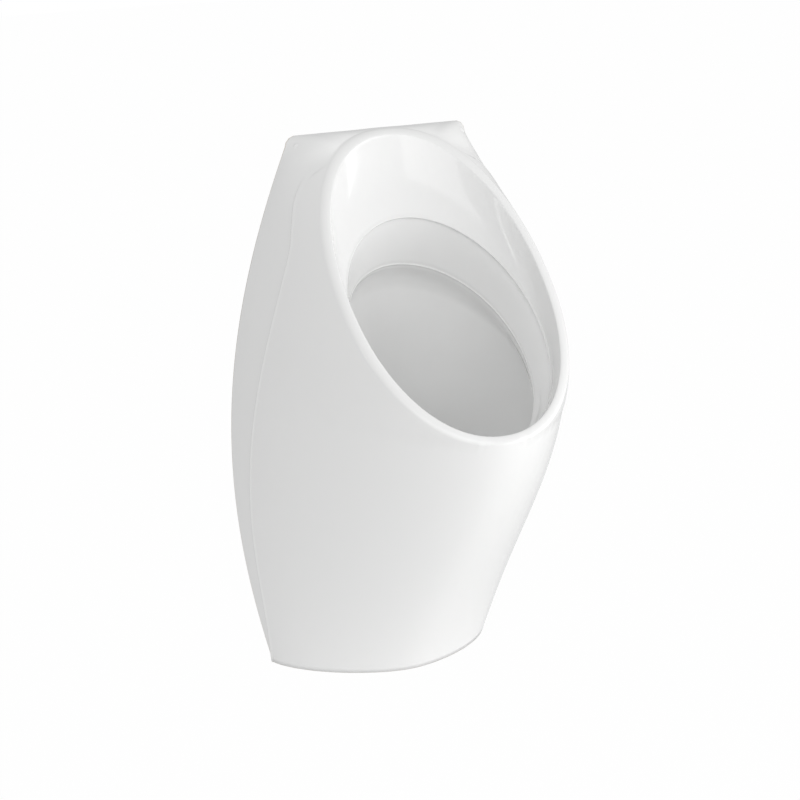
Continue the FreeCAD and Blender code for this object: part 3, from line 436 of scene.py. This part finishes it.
def ovalThrough(names, place):
    # a smooth run through the named ovals; place counts the steps between them
    rings = [ovals[name] if isinstance(name, str) else name for name in names]
    index = min(int(place), len(rings) - 2)
    share = place - index
    before, a, b, after = (rings[max(index - 1, 0)], rings[index], rings[index + 1],
                           rings[min(index + 2, len(rings) - 1)])

    def through(p, q, r, s):
        return 0.5 * (2 * q + (r - p) * share + (2 * p - 5 * q + 4 * r - s) * share ** 2
                      + (3 * q - p - 3 * r + s) * share ** 3)

    back = tuple(through(before[0][i], a[0][i], b[0][i], after[0][i]) for i in range(2))
    front = tuple(through(before[1][i], a[1][i], b[1][i], after[1][i]) for i in range(2))
    return (back, front) + tuple(through(before[i], a[i], b[i], after[i]) for i in range(2, 5))


def grownOval(oval, grow):
    back, front, wide, power, egg = oval
    half = math.dist(back, front) / 2
    along = ((back[0] - front[0]) / 2 / half, (back[1] - front[1]) / 2 / half)
    newBack = (back[0] + grow * along[0], back[1] + grow * along[1])
    newFront = (front[0] - grow * along[0], front[1] - grow * along[1])
    return newBack, newFront, wide + grow, power, egg


def mapGrid(mesh, columns, rows, placeAt):
    # a grid whose vertices are moved to placeAt(share along the columns, share along the rows)
    made = bmesh.ops.create_grid(mesh, x_segments=columns, y_segments=rows, size=1.0)
    for vertex in made["verts"]:
        vertex.co = placeAt((vertex.co.x + 1) / 2, (vertex.co.y + 1) / 2) * millimetre


def pickRow(places, share):
    return places[min(len(places) - 1, int(round(share * (len(places) - 1))))]


def finishPiece(name, mesh, material, body="root"):
    data = bpy.data.meshes.new(name)
    mesh.to_mesh(data)
    mesh.free()
    piece = bpy.data.objects.new(name, data)
    scene.collection.objects.link(piece)
    for face in data.polygons:
        face.use_smooth = True
    data.materials.append(material)
    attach(piece, body)
    return piece


# the china's skin: how its sheets are divided
skinSizes = {
    "sideRows": 64,                # along the step, and as many columns of the front shell end there
    "footColumns": 84,             # along the foot, between the two steps
    "frontRows": 54,
    "topColumns": 50,
    # how the strip behind the step is divided, from the step to the wall
    "bandRows": (0.0, 0.03, 0.07, 0.12, 0.18, 0.25, 0.33, 0.42, 0.51, 0.60, 0.69, 0.78, 0.86, 0.93,
                 0.975, 1.0),
    "joinShare": 0.8022,           # how far up the mouth the side step meets its edge
    "joinRun": 85.0,               # height over which the step bends to that place
    "bandFoot": 533.0,             # where the top band starts on the wall outline
    # the step's profile: distance behind the front shell's edge, and share of its height
    "stepProfile": ((-5.0, 1.0), (-4.0, 1.08), (-3.1, 1.22), (-2.2, 1.28), (-1.4, 1.22), (-0.7, 1.0),
                    (-0.1, 0.66), (0.4, 0.34), (1.0, 0.12), (2.2, 0.0)),
    "stepReach": 8.0,              # a strip narrower than this has its step squeezed
    "angleStep": 0.01,             # for slopes taken along the mouth's edge and round the shell
    "outsidePlace": (0.0, -200.0, 170.0),  # near the nose; faces there look forward
    "sealDistance": 0.06,          # points nearer than this are joined
}

skinSizes["frontColumns"] = 2 * skinSizes["sideRows"] + skinSizes["footColumns"]
joinAngle = math.asin(skinSizes["joinShare"] ** (ovals["rim"][3] / 2))


def topAngle(share):
    return mix(math.pi - joinAngle, joinAngle, share)


def frontAngle(share):
    return mix(math.pi - joinAngle, 2 * math.pi + joinAngle, share)


def stripRowCount():
    return len(skinSizes["stepProfile"]) + len(skinSizes["bandRows"]) - 2


def rowAcross(row, reach):
    # how far row number `row` of a strip lies from the front shell's edge to the wall, from 0 to 1
    profile, rest = skinSizes["stepProfile"], skinSizes["bandRows"]
    squeeze = min(1.0, reach / skinSizes["stepReach"]) / reach
    if row < len(profile):
        return (profile[row][0] - profile[0][0]) * squeeze
    return mix((profile[-1][0] - profile[0][0]) * squeeze, 1.0, rest[row - len(profile) + 1])


def rowProud(row):
    profile = skinSizes["stepProfile"]
    return profile[row][1] if row < len(profile) else 0.0


def frontEdge(share):
    # the first line of the front shell, a little outside the mouth's edge, as a height and an angle
    angle = frontAngle(share)
    rim = rimPoint(angle)
    z = min(rim.z, shellSizes["stepTop"])
    proud = stepProud(z)
    around = math.acos(max(-1.0, min(1.0, rim.x / (halfWidth(z) + proud))))
    here = shellPoint(z, around, proud)
    step = skinSizes["angleStep"]
    byHeight = shellPoint(z - 1, around, stepProud(z - 1)) - here
    byAngle = shellPoint(z, around + step, proud) - here
    tangent = rimPoint(angle + step) - rimPoint(angle - step)
    away = tangent.cross(byHeight.cross(byAngle)).normalized()
    outward = (rim - Vector(lipSizes["mouthMiddle"])).normalized() + Vector(lipSizes["awayLean"])
    if away.dot(outward) < 0:
        away = -away
    # two unknowns, steps down and round, that make the wanted move
    a, b, c = byHeight.dot(byHeight), byHeight.dot(byAngle), byAngle.dot(byAngle)
    d, e = away.dot(byHeight), away.dot(byAngle)
    leg = lipSizes["outerLeg"]
    down = leg * (d * c - b * e) / (a * c - b * b)
    turn = leg * (a * e - b * d) / (a * c - b * b)
    return z - down, around + turn * step


def frontPlan():
    # heights and angles of the front shell's first line, worked out once per column
    columns = skinSizes["frontColumns"]
    edge = [frontEdge(i / columns) for i in range(columns + 1)]
    half = columns // 2
    for i in range(half):
        edge[columns - i] = (edge[i][0], math.pi - edge[i][1])
    edge[half] = (edge[half][0], math.pi / 2)
    return edge


frontEdges = frontPlan()
topLeftZ = frontEdges[0][0]
joinPoint = shellPoint(topLeftZ, frontEdges[0][1], stepProud(topLeftZ))


def stepEdgeY(z):
    # the front shell's edge runs just in front of the step, and ends at its first line's own end
    plain = stepY(z) + skinSizes["stepProfile"][0][0]
    run = skinSizes["joinRun"]
    return mix(plain, joinPoint.y, smoothStep((z - topLeftZ + run) / run))


def stepAngle(z):
    return sideAngle(z, stepEdgeY(z), stepProud(z), -1)


def frontPoint(share, down):
    # from the mouth's edge down to the foot, or across to the step on either side. The way round is a
    # share between the two steps at that height, so no line runs past a step
    top, around = pickRow(frontEdges, share)
    column, rows, foot = share * skinSizes["frontColumns"], skinSizes["sideRows"], skinSizes["footColumns"]
    first = (around - stepAngle(top)) / (math.pi - 2 * stepAngle(top))
    last = min(1.0, max(0.0, (column - rows) / foot))
    low = topLeftZ * max(0.0, 1 - column / rows, (column - rows - foot) / rows)
    z = mix(top, low, down)
    between = mix(first, last, down)
    return shellPoint(z, mix(stepAngle(z), math.pi - stepAngle(z), between), stepProud(z))


def sideStripPoint(side, up, across):
    # from the front shell's edge over the step and back to the wall
    row = int(round(across * stripRowCount()))
    start = sidePoint(topLeftZ * up, stepEdgeY(topLeftZ * up), stepProud(topLeftZ * up), side)
    share = rowAcross(row, abs(start.y))
    z = mix(start.z, skinSizes["bandFoot"] * up, share)
    return sidePoint(z, start.y * (1 - share), stepProud(start.z) * rowProud(row), side)


def wallOutline(share):
    # the wall outline from the left foot of the top band over the top to the right foot
    radius, top, foot = shellSizes["cornerRadius"], shellSizes["height"], skinSizes["bandFoot"]
    turnZ = top - radius
    turnX = halfWidth(turnZ) - radius
    side, arc = turnZ - foot, radius * math.pi / 2
    mirror = -1 if share <= 0.5 else 1
    walk = min(share, 1 - share) * 2 * (side + arc + turnX)
    if walk <= side:
        return Vector((mirror * halfWidth(foot + walk), 0.0, foot + walk))
    if walk <= side + arc:
        turn = (walk - side) / radius
        return Vector((mirror * (turnX + radius * math.cos(turn)), 0.0, turnZ + radius * math.sin(turn)))
    return Vector((mirror * (turnX - (walk - side - arc)), 0.0, top))


# how the top band bulges, by share of its length from either foot
bandSizes = {
    "fallLength": 0.2,             # the bulge falls to the corner's over this, then again to the top's
    "cornerBulge": 0.33,
    "topBulge": 0.08,
    "turnStart": 0.02,             # where the bulge starts to turn upward
    "turnLength": 0.16,
    "joinFade": 0.2,               # the first line comes away from the front shell's end over this
}


def bandPoint(share, across, start, proud):
    # a straight run to the wall outline, bulging as the side does at the foot and hardly at all on top
    end = wallOutline(share)
    side = -1 if share <= 0.5 else 1
    edge = min(share, 1 - share)
    foot = skinSizes["bandFoot"]
    curve = sidePoint(mix(joinPoint.z, foot, across), joinPoint.y * (1 - across), proud, side)
    first = Vector((side * abs(joinPoint.x), joinPoint.y, joinPoint.z))
    straight = first.lerp(Vector((side * halfWidth(foot), 0, foot)), across)
    bulge = abs(curve.x) - abs(straight.x)
    fall = bandSizes["fallLength"]
    atCorner = mix(1.0, bandSizes["cornerBulge"], smoothStep(edge / fall))
    bulge *= mix(atCorner, bandSizes["topBulge"], smoothStep((edge - fall) / fall))
    turn = math.pi / 2 * smoothStep((edge - bandSizes["turnStart"]) / bandSizes["turnLength"])
    return start.lerp(end, across) + Vector((side * math.cos(turn), 0, math.sin(turn))) * bulge


def topEdgePoint(share):
    # the top band's first line: outside the mouth's edge, and at its ends the front shell's own end
    rim = rimPoint(topAngle(share))
    side = -1 if share <= 0.5 else 1
    leg = lipSizes["outerLeg"]
    plain = rim.lerp(wallOutline(share), leg / (wallOutline(share) - rim).length)
    endRim = rimPoint(topAngle(0.0 if side < 0 else 1.0))
    endWall = wallOutline(0.0 if side < 0 else 1.0)
    endPlain = endRim.lerp(endWall, leg / (endWall - endRim).length)
    shift = Vector((side * abs(joinPoint.x), joinPoint.y, joinPoint.z)) - endPlain
    return plain + shift * (1 - smoothStep(min(share, 1 - share) / bandSizes["joinFade"]))


def topBandPoint(share, across):
    row = int(round(across * stripRowCount()))
    start = topEdgePoint(share)
    step = rowAcross(row, abs(joinPoint.y))
    return bandPoint(share, step, start, stepProud(joinPoint.z) * rowProud(row))


def footLine(place):
    # the lower edge, from the left wall corner round the front to the right one, by column
    rows, foot = stripRowCount(), skinSizes["footColumns"]
    if place <= rows:
        return sideStripPoint(-1, 0.0, 1 - place / rows)
    if place <= rows + foot:
        return frontPoint((skinSizes["sideRows"] + place - rows) / skinSizes["frontColumns"], 1.0)
    return sideStripPoint(1, 0.0, (place - rows - foot) / rows)


# the rounded foot: how far in from the lower edge, and how high; every line but the first is then raised
footRise = 0.6
footProfile = ((0.0, 0.0), (0.5, -0.45), (1.3, -0.6), (4.0, -0.6), (7.0, -0.6), (9.5, -0.5), (10.3, 0.2),
               (10.5, 3.0))


def footPoint(around, inward):
    count = 2 * stripRowCount() + skinSizes["footColumns"]
    place = int(round(around * count))
    here = footLine(place)
    ahead, behind = footLine(min(count, place + 1)), footLine(max(0, place - 1))
    along = (ahead - behind).normalized()
    reach, height = pickRow(footProfile, inward)
    inside = Vector((-along.y, along.x, 0))
    if place in (0, count):
        inside = Vector((1 if place == 0 else -1, 0, 0))
    return here + inside * reach + Vector((0, 0, height + footRise if reach else 0.0))


def aroundShare(share):
    # one turn round the mouth: the front shell's columns first, then the top's
    columns = skinSizes["frontColumns"] + skinSizes["topColumns"]
    index = share * columns
    if index <= skinSizes["frontColumns"]:
        return "front", index / skinSizes["frontColumns"]
    return "top", 1 - (index - skinSizes["frontColumns"]) / skinSizes["topColumns"]


def aroundAngle(share):
    where, along = aroundShare(share)
    return frontAngle(along) if where == "front" else topAngle(along) + 2 * math.pi


def outerLine(share):
    where, along = aroundShare(share)
    if where == "front":
        z, around = pickRow(frontEdges, along)
        return shellPoint(z, around, stepProud(z))
    return topEdgePoint(along)


# how the inside is divided, from the lip to the end of the bore
insideSizes = {
    "dishRows": 18,
    "dishSteps": 19,
    # the thin ridge, a bead with a groove under it: place on the way down, and how far it is grown
    "ridgeBead": ((1.93, 0.1), (1.955, -0.1), (1.975, -0.9), (1.99, -1.6), (2.005, -1.8), (2.02, -1.5),
                  (2.038, -0.7), (2.058, 0.0), (2.09, 0.25), (2.15, 0.15), (2.25, 0.0)),
    "belowRidge": (0.38, 0.5, 0.62, 0.74, 0.84, 0.91, 0.95),
    "edgeSteps": 7,
    # under the box rim's edge: how far it is grown and lifted
    "underEdge": ((0.6, -3.5), (1.8, -8.0), (4.0, -14.0)),
    "bowlFirst": 4,
    "bowlSteps": 36,
    "seatShares": (0.25, 0.5, 0.75, 0.95),
    "boreShares": (0.03, 0.35, 0.7, 1.0),
}


def insideRows():
    # the inside, row by row: an oval, and how far it is grown and lifted
    ridge, hole = ovals["ridge"], ovals["hole"]
    splash = (grownOval(ovals["rim"], -lipSizes["thickness"]), "dish", "ridge")
    rows = [(ovalThrough(splash, (len(splash) - 1) * i / insideSizes["dishSteps"]), 0.0, 0.0)
            for i in range(insideSizes["dishRows"])]
    for place, grow in insideSizes["ridgeBead"]:
        base = ovalThrough(splash, place) if place < 2 else mixOvals(ridge, hole, place - 2)
        rows.append((base, grow, 0.0))
    rows += [(mixOvals(ridge, hole, place), 0.0, 0.0) for place in insideSizes["belowRidge"]]
    radius, steps = lipSizes["holeEdge"], insideSizes["edgeSteps"]
    for i in range(steps + 1):
        turn = math.pi * i / steps
        rows.append((hole, radius - radius * math.sin(turn), radius * math.cos(turn) - radius))
    rows += [(hole, grow, lift) for grow, lift in insideSizes["underEdge"]]
    bowl, steps = ("bowlTop", "bowlHigh", "bowlLow", "bowlFloor", "seat"), insideSizes["bowlSteps"]
    rows += [(ovalThrough(bowl, (len(bowl) - 1) * i / steps), 0.0, 0.0)
             for i in range(insideSizes["bowlFirst"], steps + 1)]
    rows += [(mixOvals(ovals["seat"], ovals["bore"], share), 0.0, 0.0)
             for share in insideSizes["seatShares"]]
    rows += [(mixOvals(ovals["bore"], ovals["boreEnd"], share), 0.0, 0.0)
             for share in insideSizes["boreShares"]]
    return rows


innerRows = insideRows()
lipRows = lipSizes["rows"]


def insidePoint(share, deep):
    # over the rounded lip first, then down the inside
    row = int(round(deep * (lipRows + len(innerRows) - 1)))
    angle = aroundAngle(share)
    if row >= lipRows:
        oval, grow, lift = innerRows[row - lipRows]
        return ovalPoint(oval, angle, grow, lift)
    outer = outerLine(share)
    oval, grow, lift = innerRows[0]
    inner = ovalPoint(oval, angle, grow, lift)
    crestOuter = ovalPoint(ovals["rim"], angle, lipSizes["outerCrest"], lipSizes["lift"])
    innerGrow = lipSizes["innerCrest"] - lipSizes["thickness"]
    crestInner = ovalPoint(ovals["rim"], angle, innerGrow, lipSizes["lift"])
    handleA = outer.lerp(crestOuter, lipSizes["handle"])
    handleB = inner.lerp(crestInner, lipSizes["handle"])
    t = row / lipRows
    return (outer * (1 - t) ** 3 + handleA * 3 * t * (1 - t) ** 2 + handleB * 3 * t * t * (1 - t)
            + inner * t ** 3)


# the skin's thickness as a share of the wall's; the rises say how fast a sheet comes to its own
wallShares = {
    "lip": 0.38,
    "front": 0.72,
    "top": 0.7,
    "foot": 0.02,
    "step": 0.12,          # thin where the step turns inward, so that its hidden side stays hidden
    "sideRise": 8,         # over an 8th of the side strip, from the lip
    "frontRise": 6,        # over a 6th of the front shell, from the lip
    "stepColumns": 5,      # this many columns away from the step,
    "stepRise": 7,         # or a 7th of the way up from the foot or the step
    "fullRows": 57,        # the last rows of the inside, with the wall's full thickness
    "insideRows": 8,       # except over the first few of them, where it grows to that
}


def makeChinaSkin(material):
    # one sheet, thickened inward: front shell, step and sides, top, foot, lip and inside
    mesh = bmesh.new()
    layer = mesh.verts.layers.float.new("thickness")
    frontColumns, topColumns = skinSizes["frontColumns"], skinSizes["topColumns"]
    sideRows, footColumns = skinSizes["sideRows"], skinSizes["footColumns"]
    stripRows = stripRowCount()
    insideCount = lipRows + len(innerRows) - 1
    nearLip, atStep = wallShares["lip"], wallShares["step"]

    def grid(columns, rows, placeAt, weightAt):
        made = bmesh.ops.create_grid(mesh, x_segments=columns, y_segments=rows, size=1.0)
        for vertex in made["verts"]:
            u, w = (vertex.co.x + 1) / 2, (vertex.co.y + 1) / 2
            vertex.co = placeAt(u, w) * millimetre
            vertex[layer] = weightAt(u, w)

    def stripWeight(u, w):
        row = int(round(w * stripRows))
        most = atStep if row < len(skinSizes["stepProfile"]) + 1 else 1.0
        return min(most, mix(nearLip, 1.0, smoothStep((1 - u) * wallShares["sideRise"])))

    def frontWeight(u, w):
        full = wallShares["front"]
        fromLip = w * wallShares["frontRise"]
        fromStep = max(0.0, min(u, 1 - u) * frontColumns - sideRows) / wallShares["stepColumns"]
        fromStep += (1 - w) * wallShares["stepRise"]
        return min(mix(nearLip, full, smoothStep(fromLip)), mix(atStep, full, smoothStep(fromStep)))

    def insideWeight(u, w):
        fromLip = w * insideCount - insideCount + wallShares["fullRows"]
        return mix(nearLip, 1.0, smoothStep(fromLip / wallShares["insideRows"]))

    grid(frontColumns, skinSizes["frontRows"], frontPoint, frontWeight)
    for side in (-1, 1):
        grid(sideRows, stripRows, lambda u, w: sideStripPoint(side, u, w), stripWeight)
    grid(topColumns, stripRows, topBandPoint, lambda u, w: mix(nearLip, wallShares["top"], w))
    grid(2 * stripRows + footColumns, len(footProfile) - 1, footPoint, lambda u, w: wallShares["foot"])
    grid(frontColumns + topColumns, insideCount, insidePoint, insideWeight)
    bmesh.ops.remove_doubles(mesh, verts=mesh.verts, dist=skinSizes["sealDistance"] * millimetre)
    bmesh.ops.recalc_face_normals(mesh, faces=mesh.faces)
    outside = Vector(skinSizes["outsidePlace"]) * millimetre
    nose = min(mesh.faces, key=lambda face: (face.calc_center_median() - outside).length)
    if nose.normal.y > 0:
        bmesh.ops.reverse_faces(mesh, faces=mesh.faces)
    weights = [vertex[layer] for vertex in mesh.verts]
    border = sum(1 for edge in mesh.edges if edge.is_boundary)
    print("china skin:", len(mesh.verts), "vertices,", border, "edges on its border")
    piece = finishPiece("glazed_shell", mesh, material)
    group = piece.vertex_groups.new(name="thickness")
    for index, weight in enumerate(weights):
        group.add([index], weight, "REPLACE")
    wall = piece.modifiers.new("wall", "SOLIDIFY")
    wall.thickness = shellSizes["wall"] * millimetre
    wall.offset = -1.0
    wall.vertex_group = "thickness"
    wall.use_rim = True
    return piece


shell = makeChinaSkin(paints["glazed_china"])
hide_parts("ceramic_body")
print("china skin built")


# china behind the shell, seen from the back; sizes in millimetres
profileSizes = {
    "power": 8,          # roundness of a rectangle's corners; higher is sharper
    "start": 0.3,        # the angle where a profile starts, off its corners
    "rows": 24,
    "ringRows": 6,       # between the corners of a ring's profile
    "ringEdge": 1.5,     # flat cut on a ring's outer edges
    "wallGap": 0.05,     # keeps faces off the skin's own at the wall
    "sealDistance": 0.03,
}


def closedSweep(name, columns, rows, placeAt, wraps=True):
    # a closed profile along a path, with flat ends where the path doesn't meet itself
    mesh = bmesh.new()
    mapGrid(mesh, columns, rows, placeAt)
    bmesh.ops.remove_doubles(mesh, verts=mesh.verts, dist=profileSizes["sealDistance"] * millimetre)
    if not wraps:
        bmesh.ops.holes_fill(mesh, edges=mesh.edges)
    bmesh.ops.recalc_face_normals(mesh, faces=mesh.faces)
    piece = finishPiece(name, mesh, paints["glazed_china"])
    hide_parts("ceramic_body")


def roundedSquare(turn, across, high):
    # a point of a rectangle with round corners, by angle
    x, z = math.cos(turn), math.sin(turn)
    power = profileSizes["power"]
    reach = 1 / (abs(x / across) ** power + abs(z / high) ** power) ** (1 / power)
    return x * reach, z * reach


def boxProfile(share, width, depth):
    # round a rectangle's edge: 0 to width across, 0 to -depth
    x, z = roundedSquare(2 * math.pi * share + profileSizes["start"], width / 2, depth / 2)
    return x + width / 2, z - depth / 2


def ringPoint(sizes, low, high, around):
    # a washer's profile, closed: radius and height
    outer, inner, cut = sizes["radius"], sizes["hole"], profileSizes["ringEdge"]
    corners = ((inner, low), (outer - cut, low), (outer, low + cut), (outer, high - cut),
               (outer - cut, high), (inner, high), (inner, low))
    return pickRow(corners, around)


flangeSizes = {
    "from": 5.0,             # inside the wall outline
    "to": 24.0,
    "depth": 12.0,
    "low": 4.0,              # height of its two lower ends
    "sideShare": 0.35,       # the part of its path along either side
    "columns": 132,
    "tangentStep": 0.004,    # for the path's direction, as a share of it
}


def flangePath(share):
    # up the left side, over the top and down the right
    foot, low, sideShare = skinSizes["bandFoot"], flangeSizes["low"], flangeSizes["sideShare"]
    if share < sideShare:
        z = mix(low, foot, share / sideShare)
        return Vector((-halfWidth(z), 0, z))
    if share > 1 - sideShare:
        z = mix(foot, low, (share - 1 + sideShare) / sideShare)
        return Vector((halfWidth(z), 0, z))
    return wallOutline((share - sideShare) / (1 - 2 * sideShare))


def flangePoint(share, around):
    first, step = flangeSizes["from"], flangeSizes["tangentStep"]
    here = flangePath(share)
    along = (flangePath(min(1.0, share + step)) - flangePath(max(0.0, share - step))).normalized()
    inside = Vector((along.z, 0, -along.x))
    across, y = boxProfile(around, flangeSizes["to"] - first, flangeSizes["depth"])
    point = here + inside * (first + across) + Vector((0, y - profileSizes["wallGap"], 0))
    # square inner corners, where the offset would fold over the outline's small corner radius
    point.z = min(point.z, shellSizes["height"] - first - across)
    reach = halfWidth(point.z) - first - across
    point.x = max(-reach, min(reach, point.x))
    return point


ribSizes = {
    "halfLength": 118.0,
    "y": (-16.0, -4.0),
    "z": (473.0, 491.0),
    "columns": 40,
}


def ribPoint(share, around):
    half, (front, back), (low, high) = ribSizes["halfLength"], ribSizes["y"], ribSizes["z"]
    across, y = boxProfile(around, high - low, back - front)
    return Vector((mix(-half, half, share), back + y, low + across))


bossSizes = {
    "radius": 26.0,
    "hole": 12.5,
    "y": (-35.0, -3.4),
    "z": 468.0,
    "columns": 64,
}


def bossPoint(share, around):
    radius, y = ringPoint(bossSizes, *bossSizes["y"], around)
    turn = 2 * math.pi * share
    return Vector((radius * math.cos(turn), y, bossSizes["z"] + radius * math.sin(turn)))


spigotSizes = {
    "radius": 34.0,
    "hole": 25.0,
    "z": (198.0, 231.0),
    "y": -72.0,
    "columns": 64,
}


def spigotPoint(share, around):
    radius, z = ringPoint(spigotSizes, *spigotSizes["z"], around)
    turn = 2 * math.pi * share
    return Vector((radius * math.cos(turn), spigotSizes["y"] + radius * math.sin(turn), z))


lugSizes = {
    "halfSize": 24.0,
    "hole": 7.2,             # radius
    "depth": 14.0,
    "x": 78.0,
    "z": 60.0,
    "cutDepth": 1.0,         # of the cut edge at the front
    "cutReach": 0.94,        # how far out that edge reaches, as a share of the lug
    "columns": 64,
    "rows": 5,
}


def lugPoint(side, share, around):
    half, hole, depth = lugSizes["halfSize"], lugSizes["hole"], lugSizes["depth"]
    gap = profileSizes["wallGap"]
    turn = 2 * math.pi * share
    wide, high = roundedSquare(turn, half, half)
    corners = ((0.0, -gap), (1.0, -gap), (1.0, lugSizes["cutDepth"] - depth),
               (lugSizes["cutReach"], -depth), (0.0, -depth), (0.0, -gap))
    out, y = pickRow(corners, around)
    x, z = mix(hole * math.cos(turn), wide, out), mix(hole * math.sin(turn), high, out)
    return Vector((side * lugSizes["x"] + x, y, lugSizes["z"] + z))


channelSizes = {
    "halfWidth": 111.0,
    "halfLength": 154.0,
    "topDepth": 35.0,
    "topZ": 468.0,
    "radius": 12.0,
    "arc": (8, 172),         # degrees round the back of the mouth
    "columns": 72,
    "rows": 20,
}


def channelPoint(share, around):
    # the water channel's swelling, round the back of the mouth only
    wide, long = channelSizes["halfWidth"], channelSizes["halfLength"]
    back, front = ovals["ridge"][0], ovals["ridge"][1]
    along = Vector((0, back[0] - front[0], back[1] - front[1])).normalized()
    middle = Vector((0, -channelSizes["topDepth"], channelSizes["topZ"])) - along * long
    first, last = channelSizes["arc"]
    turn = mix(math.radians(first), math.radians(last), share)
    here = middle + Vector((wide * math.cos(turn), 0, 0)) + along * long * math.sin(turn)
    ahead = Vector((-wide * math.sin(turn), 0, 0)) + along * long * math.cos(turn)
    side = ahead.cross(Vector((1, 0, 0)).cross(along)).normalized()
    up = ahead.normalized().cross(side)
    spin = 2 * math.pi * around
    return here + (side * math.cos(spin) + up * math.sin(spin)) * channelSizes["radius"]


closedSweep("china_flange", flangeSizes["columns"], profileSizes["rows"], flangePoint, wraps=False)
closedSweep("china_hanging_rib", ribSizes["columns"], profileSizes["rows"], ribPoint, wraps=False)
closedSweep("china_inlet_boss", bossSizes["columns"], profileSizes["ringRows"], bossPoint)
closedSweep("china_spigot", spigotSizes["columns"], profileSizes["ringRows"], spigotPoint)
closedSweep("china_lug_left", lugSizes["columns"], lugSizes["rows"], lambda u, w: lugPoint(-1, u, w))
closedSweep("china_lug_right", lugSizes["columns"], lugSizes["rows"], lambda u, w: lugPoint(1, u, w))
closedSweep("china_channel", channelSizes["columns"], channelSizes["rows"], channelPoint, wraps=False)
print("china behind the shell built")


# floor and light; lengths in metres
studioSizes = {
    "floorHeight": -0.62,
    "floorHalfSize": 8.0,
    "ambient": 0.64,
    "floorColour": 0.9,
    "floorRoughness": 0.9,
    "floorOwnLight": 0.98,     # share of plain white in what the camera sees of the floor
}

# place, what it points at, width, height and power
lamps = {
    "key": ((2.45, -2.2, 0.3), (0, -0.15, 0.3), 3.4, 2.2, 55),
    "front": ((-0.7, -2.7, 1.6), (0, -0.15, 0.3), 3.0, 1.8, 22),
    "window": ((-2.5, -0.15, 0.95), (0, -0.1, 0.42), 0.28, 0.6, 1.4),
}


def floorPaint():
    # pale floor that keeps the shadow; the camera sees it mixed with plain white
    paint = Paint("studio floor")
    camera = paint.node("LightPath", output=0)
    white = paint.node("Emission", {}, {"Color": (1, 1, 1, 1), "Strength": 1.0})
    plain = paint.tree.nodes["Principled BSDF"]
    level = studioSizes["floorColour"]
    paint.surface(Base_Color=(level, level, level, 1.0), Roughness=studioSizes["floorRoughness"])
    seen = paint.node("MixShader", {}, {0: camera * studioSizes["floorOwnLight"],
                                        1: ShaderValue(paint, plain.outputs[0]), 2: white})
    paint.fill(paint.tree.nodes["Material Output"], {"Surface": seen})
    return paint.material


def makeFloor():
    mesh = bmesh.new()
    bmesh.ops.create_grid(mesh, x_segments=1, y_segments=1, size=studioSizes["floorHalfSize"])
    bmesh.ops.translate(mesh, verts=mesh.verts, vec=(0, 0, studioSizes["floorHeight"]))
    data = bpy.data.meshes.new("floor")
    mesh.to_mesh(data)
    mesh.free()
    floor = bpy.data.objects.new("floor", data)
    scene.collection.objects.link(floor)
    data.materials.append(floorPaint())


def makeWorld():
    # even light all round; the camera sees white
    world = bpy.data.worlds.new("studio")
    scene.world = world
    world.use_nodes = True
    nodes, links = world.node_tree.nodes, world.node_tree.links
    path, level = nodes.new("ShaderNodeLightPath"), nodes.new("ShaderNodeMapRange")
    links.new(path.outputs["Is Camera Ray"], level.inputs["Value"])
    level.inputs["To Min"].default_value = studioSizes["ambient"]
    level.inputs["To Max"].default_value = 1.0
    nodes["Background"].inputs["Color"].default_value = (1, 1, 1, 1)
    links.new(level.outputs[0], nodes["Background"].inputs["Strength"])


def addLamp(name, spot, aim, width, height, power):
    lamp = bpy.data.lights.new(name, "AREA")
    lamp.shape = "RECTANGLE"
    lamp.size, lamp.size_y, lamp.energy = width, height, power
    holder = bpy.data.objects.new(name, lamp)
    holder.location = spot
    holder.rotation_euler = (Vector(aim) - Vector(spot)).to_track_quat("-Z", "Y").to_euler()
    scene.collection.objects.link(holder)


makeFloor()
makeWorld()
for lampName, lampFacts in lamps.items():
    addLamp(lampName, *lampFacts)
scene.view_settings.view_transform = "Standard"
print("studio built")
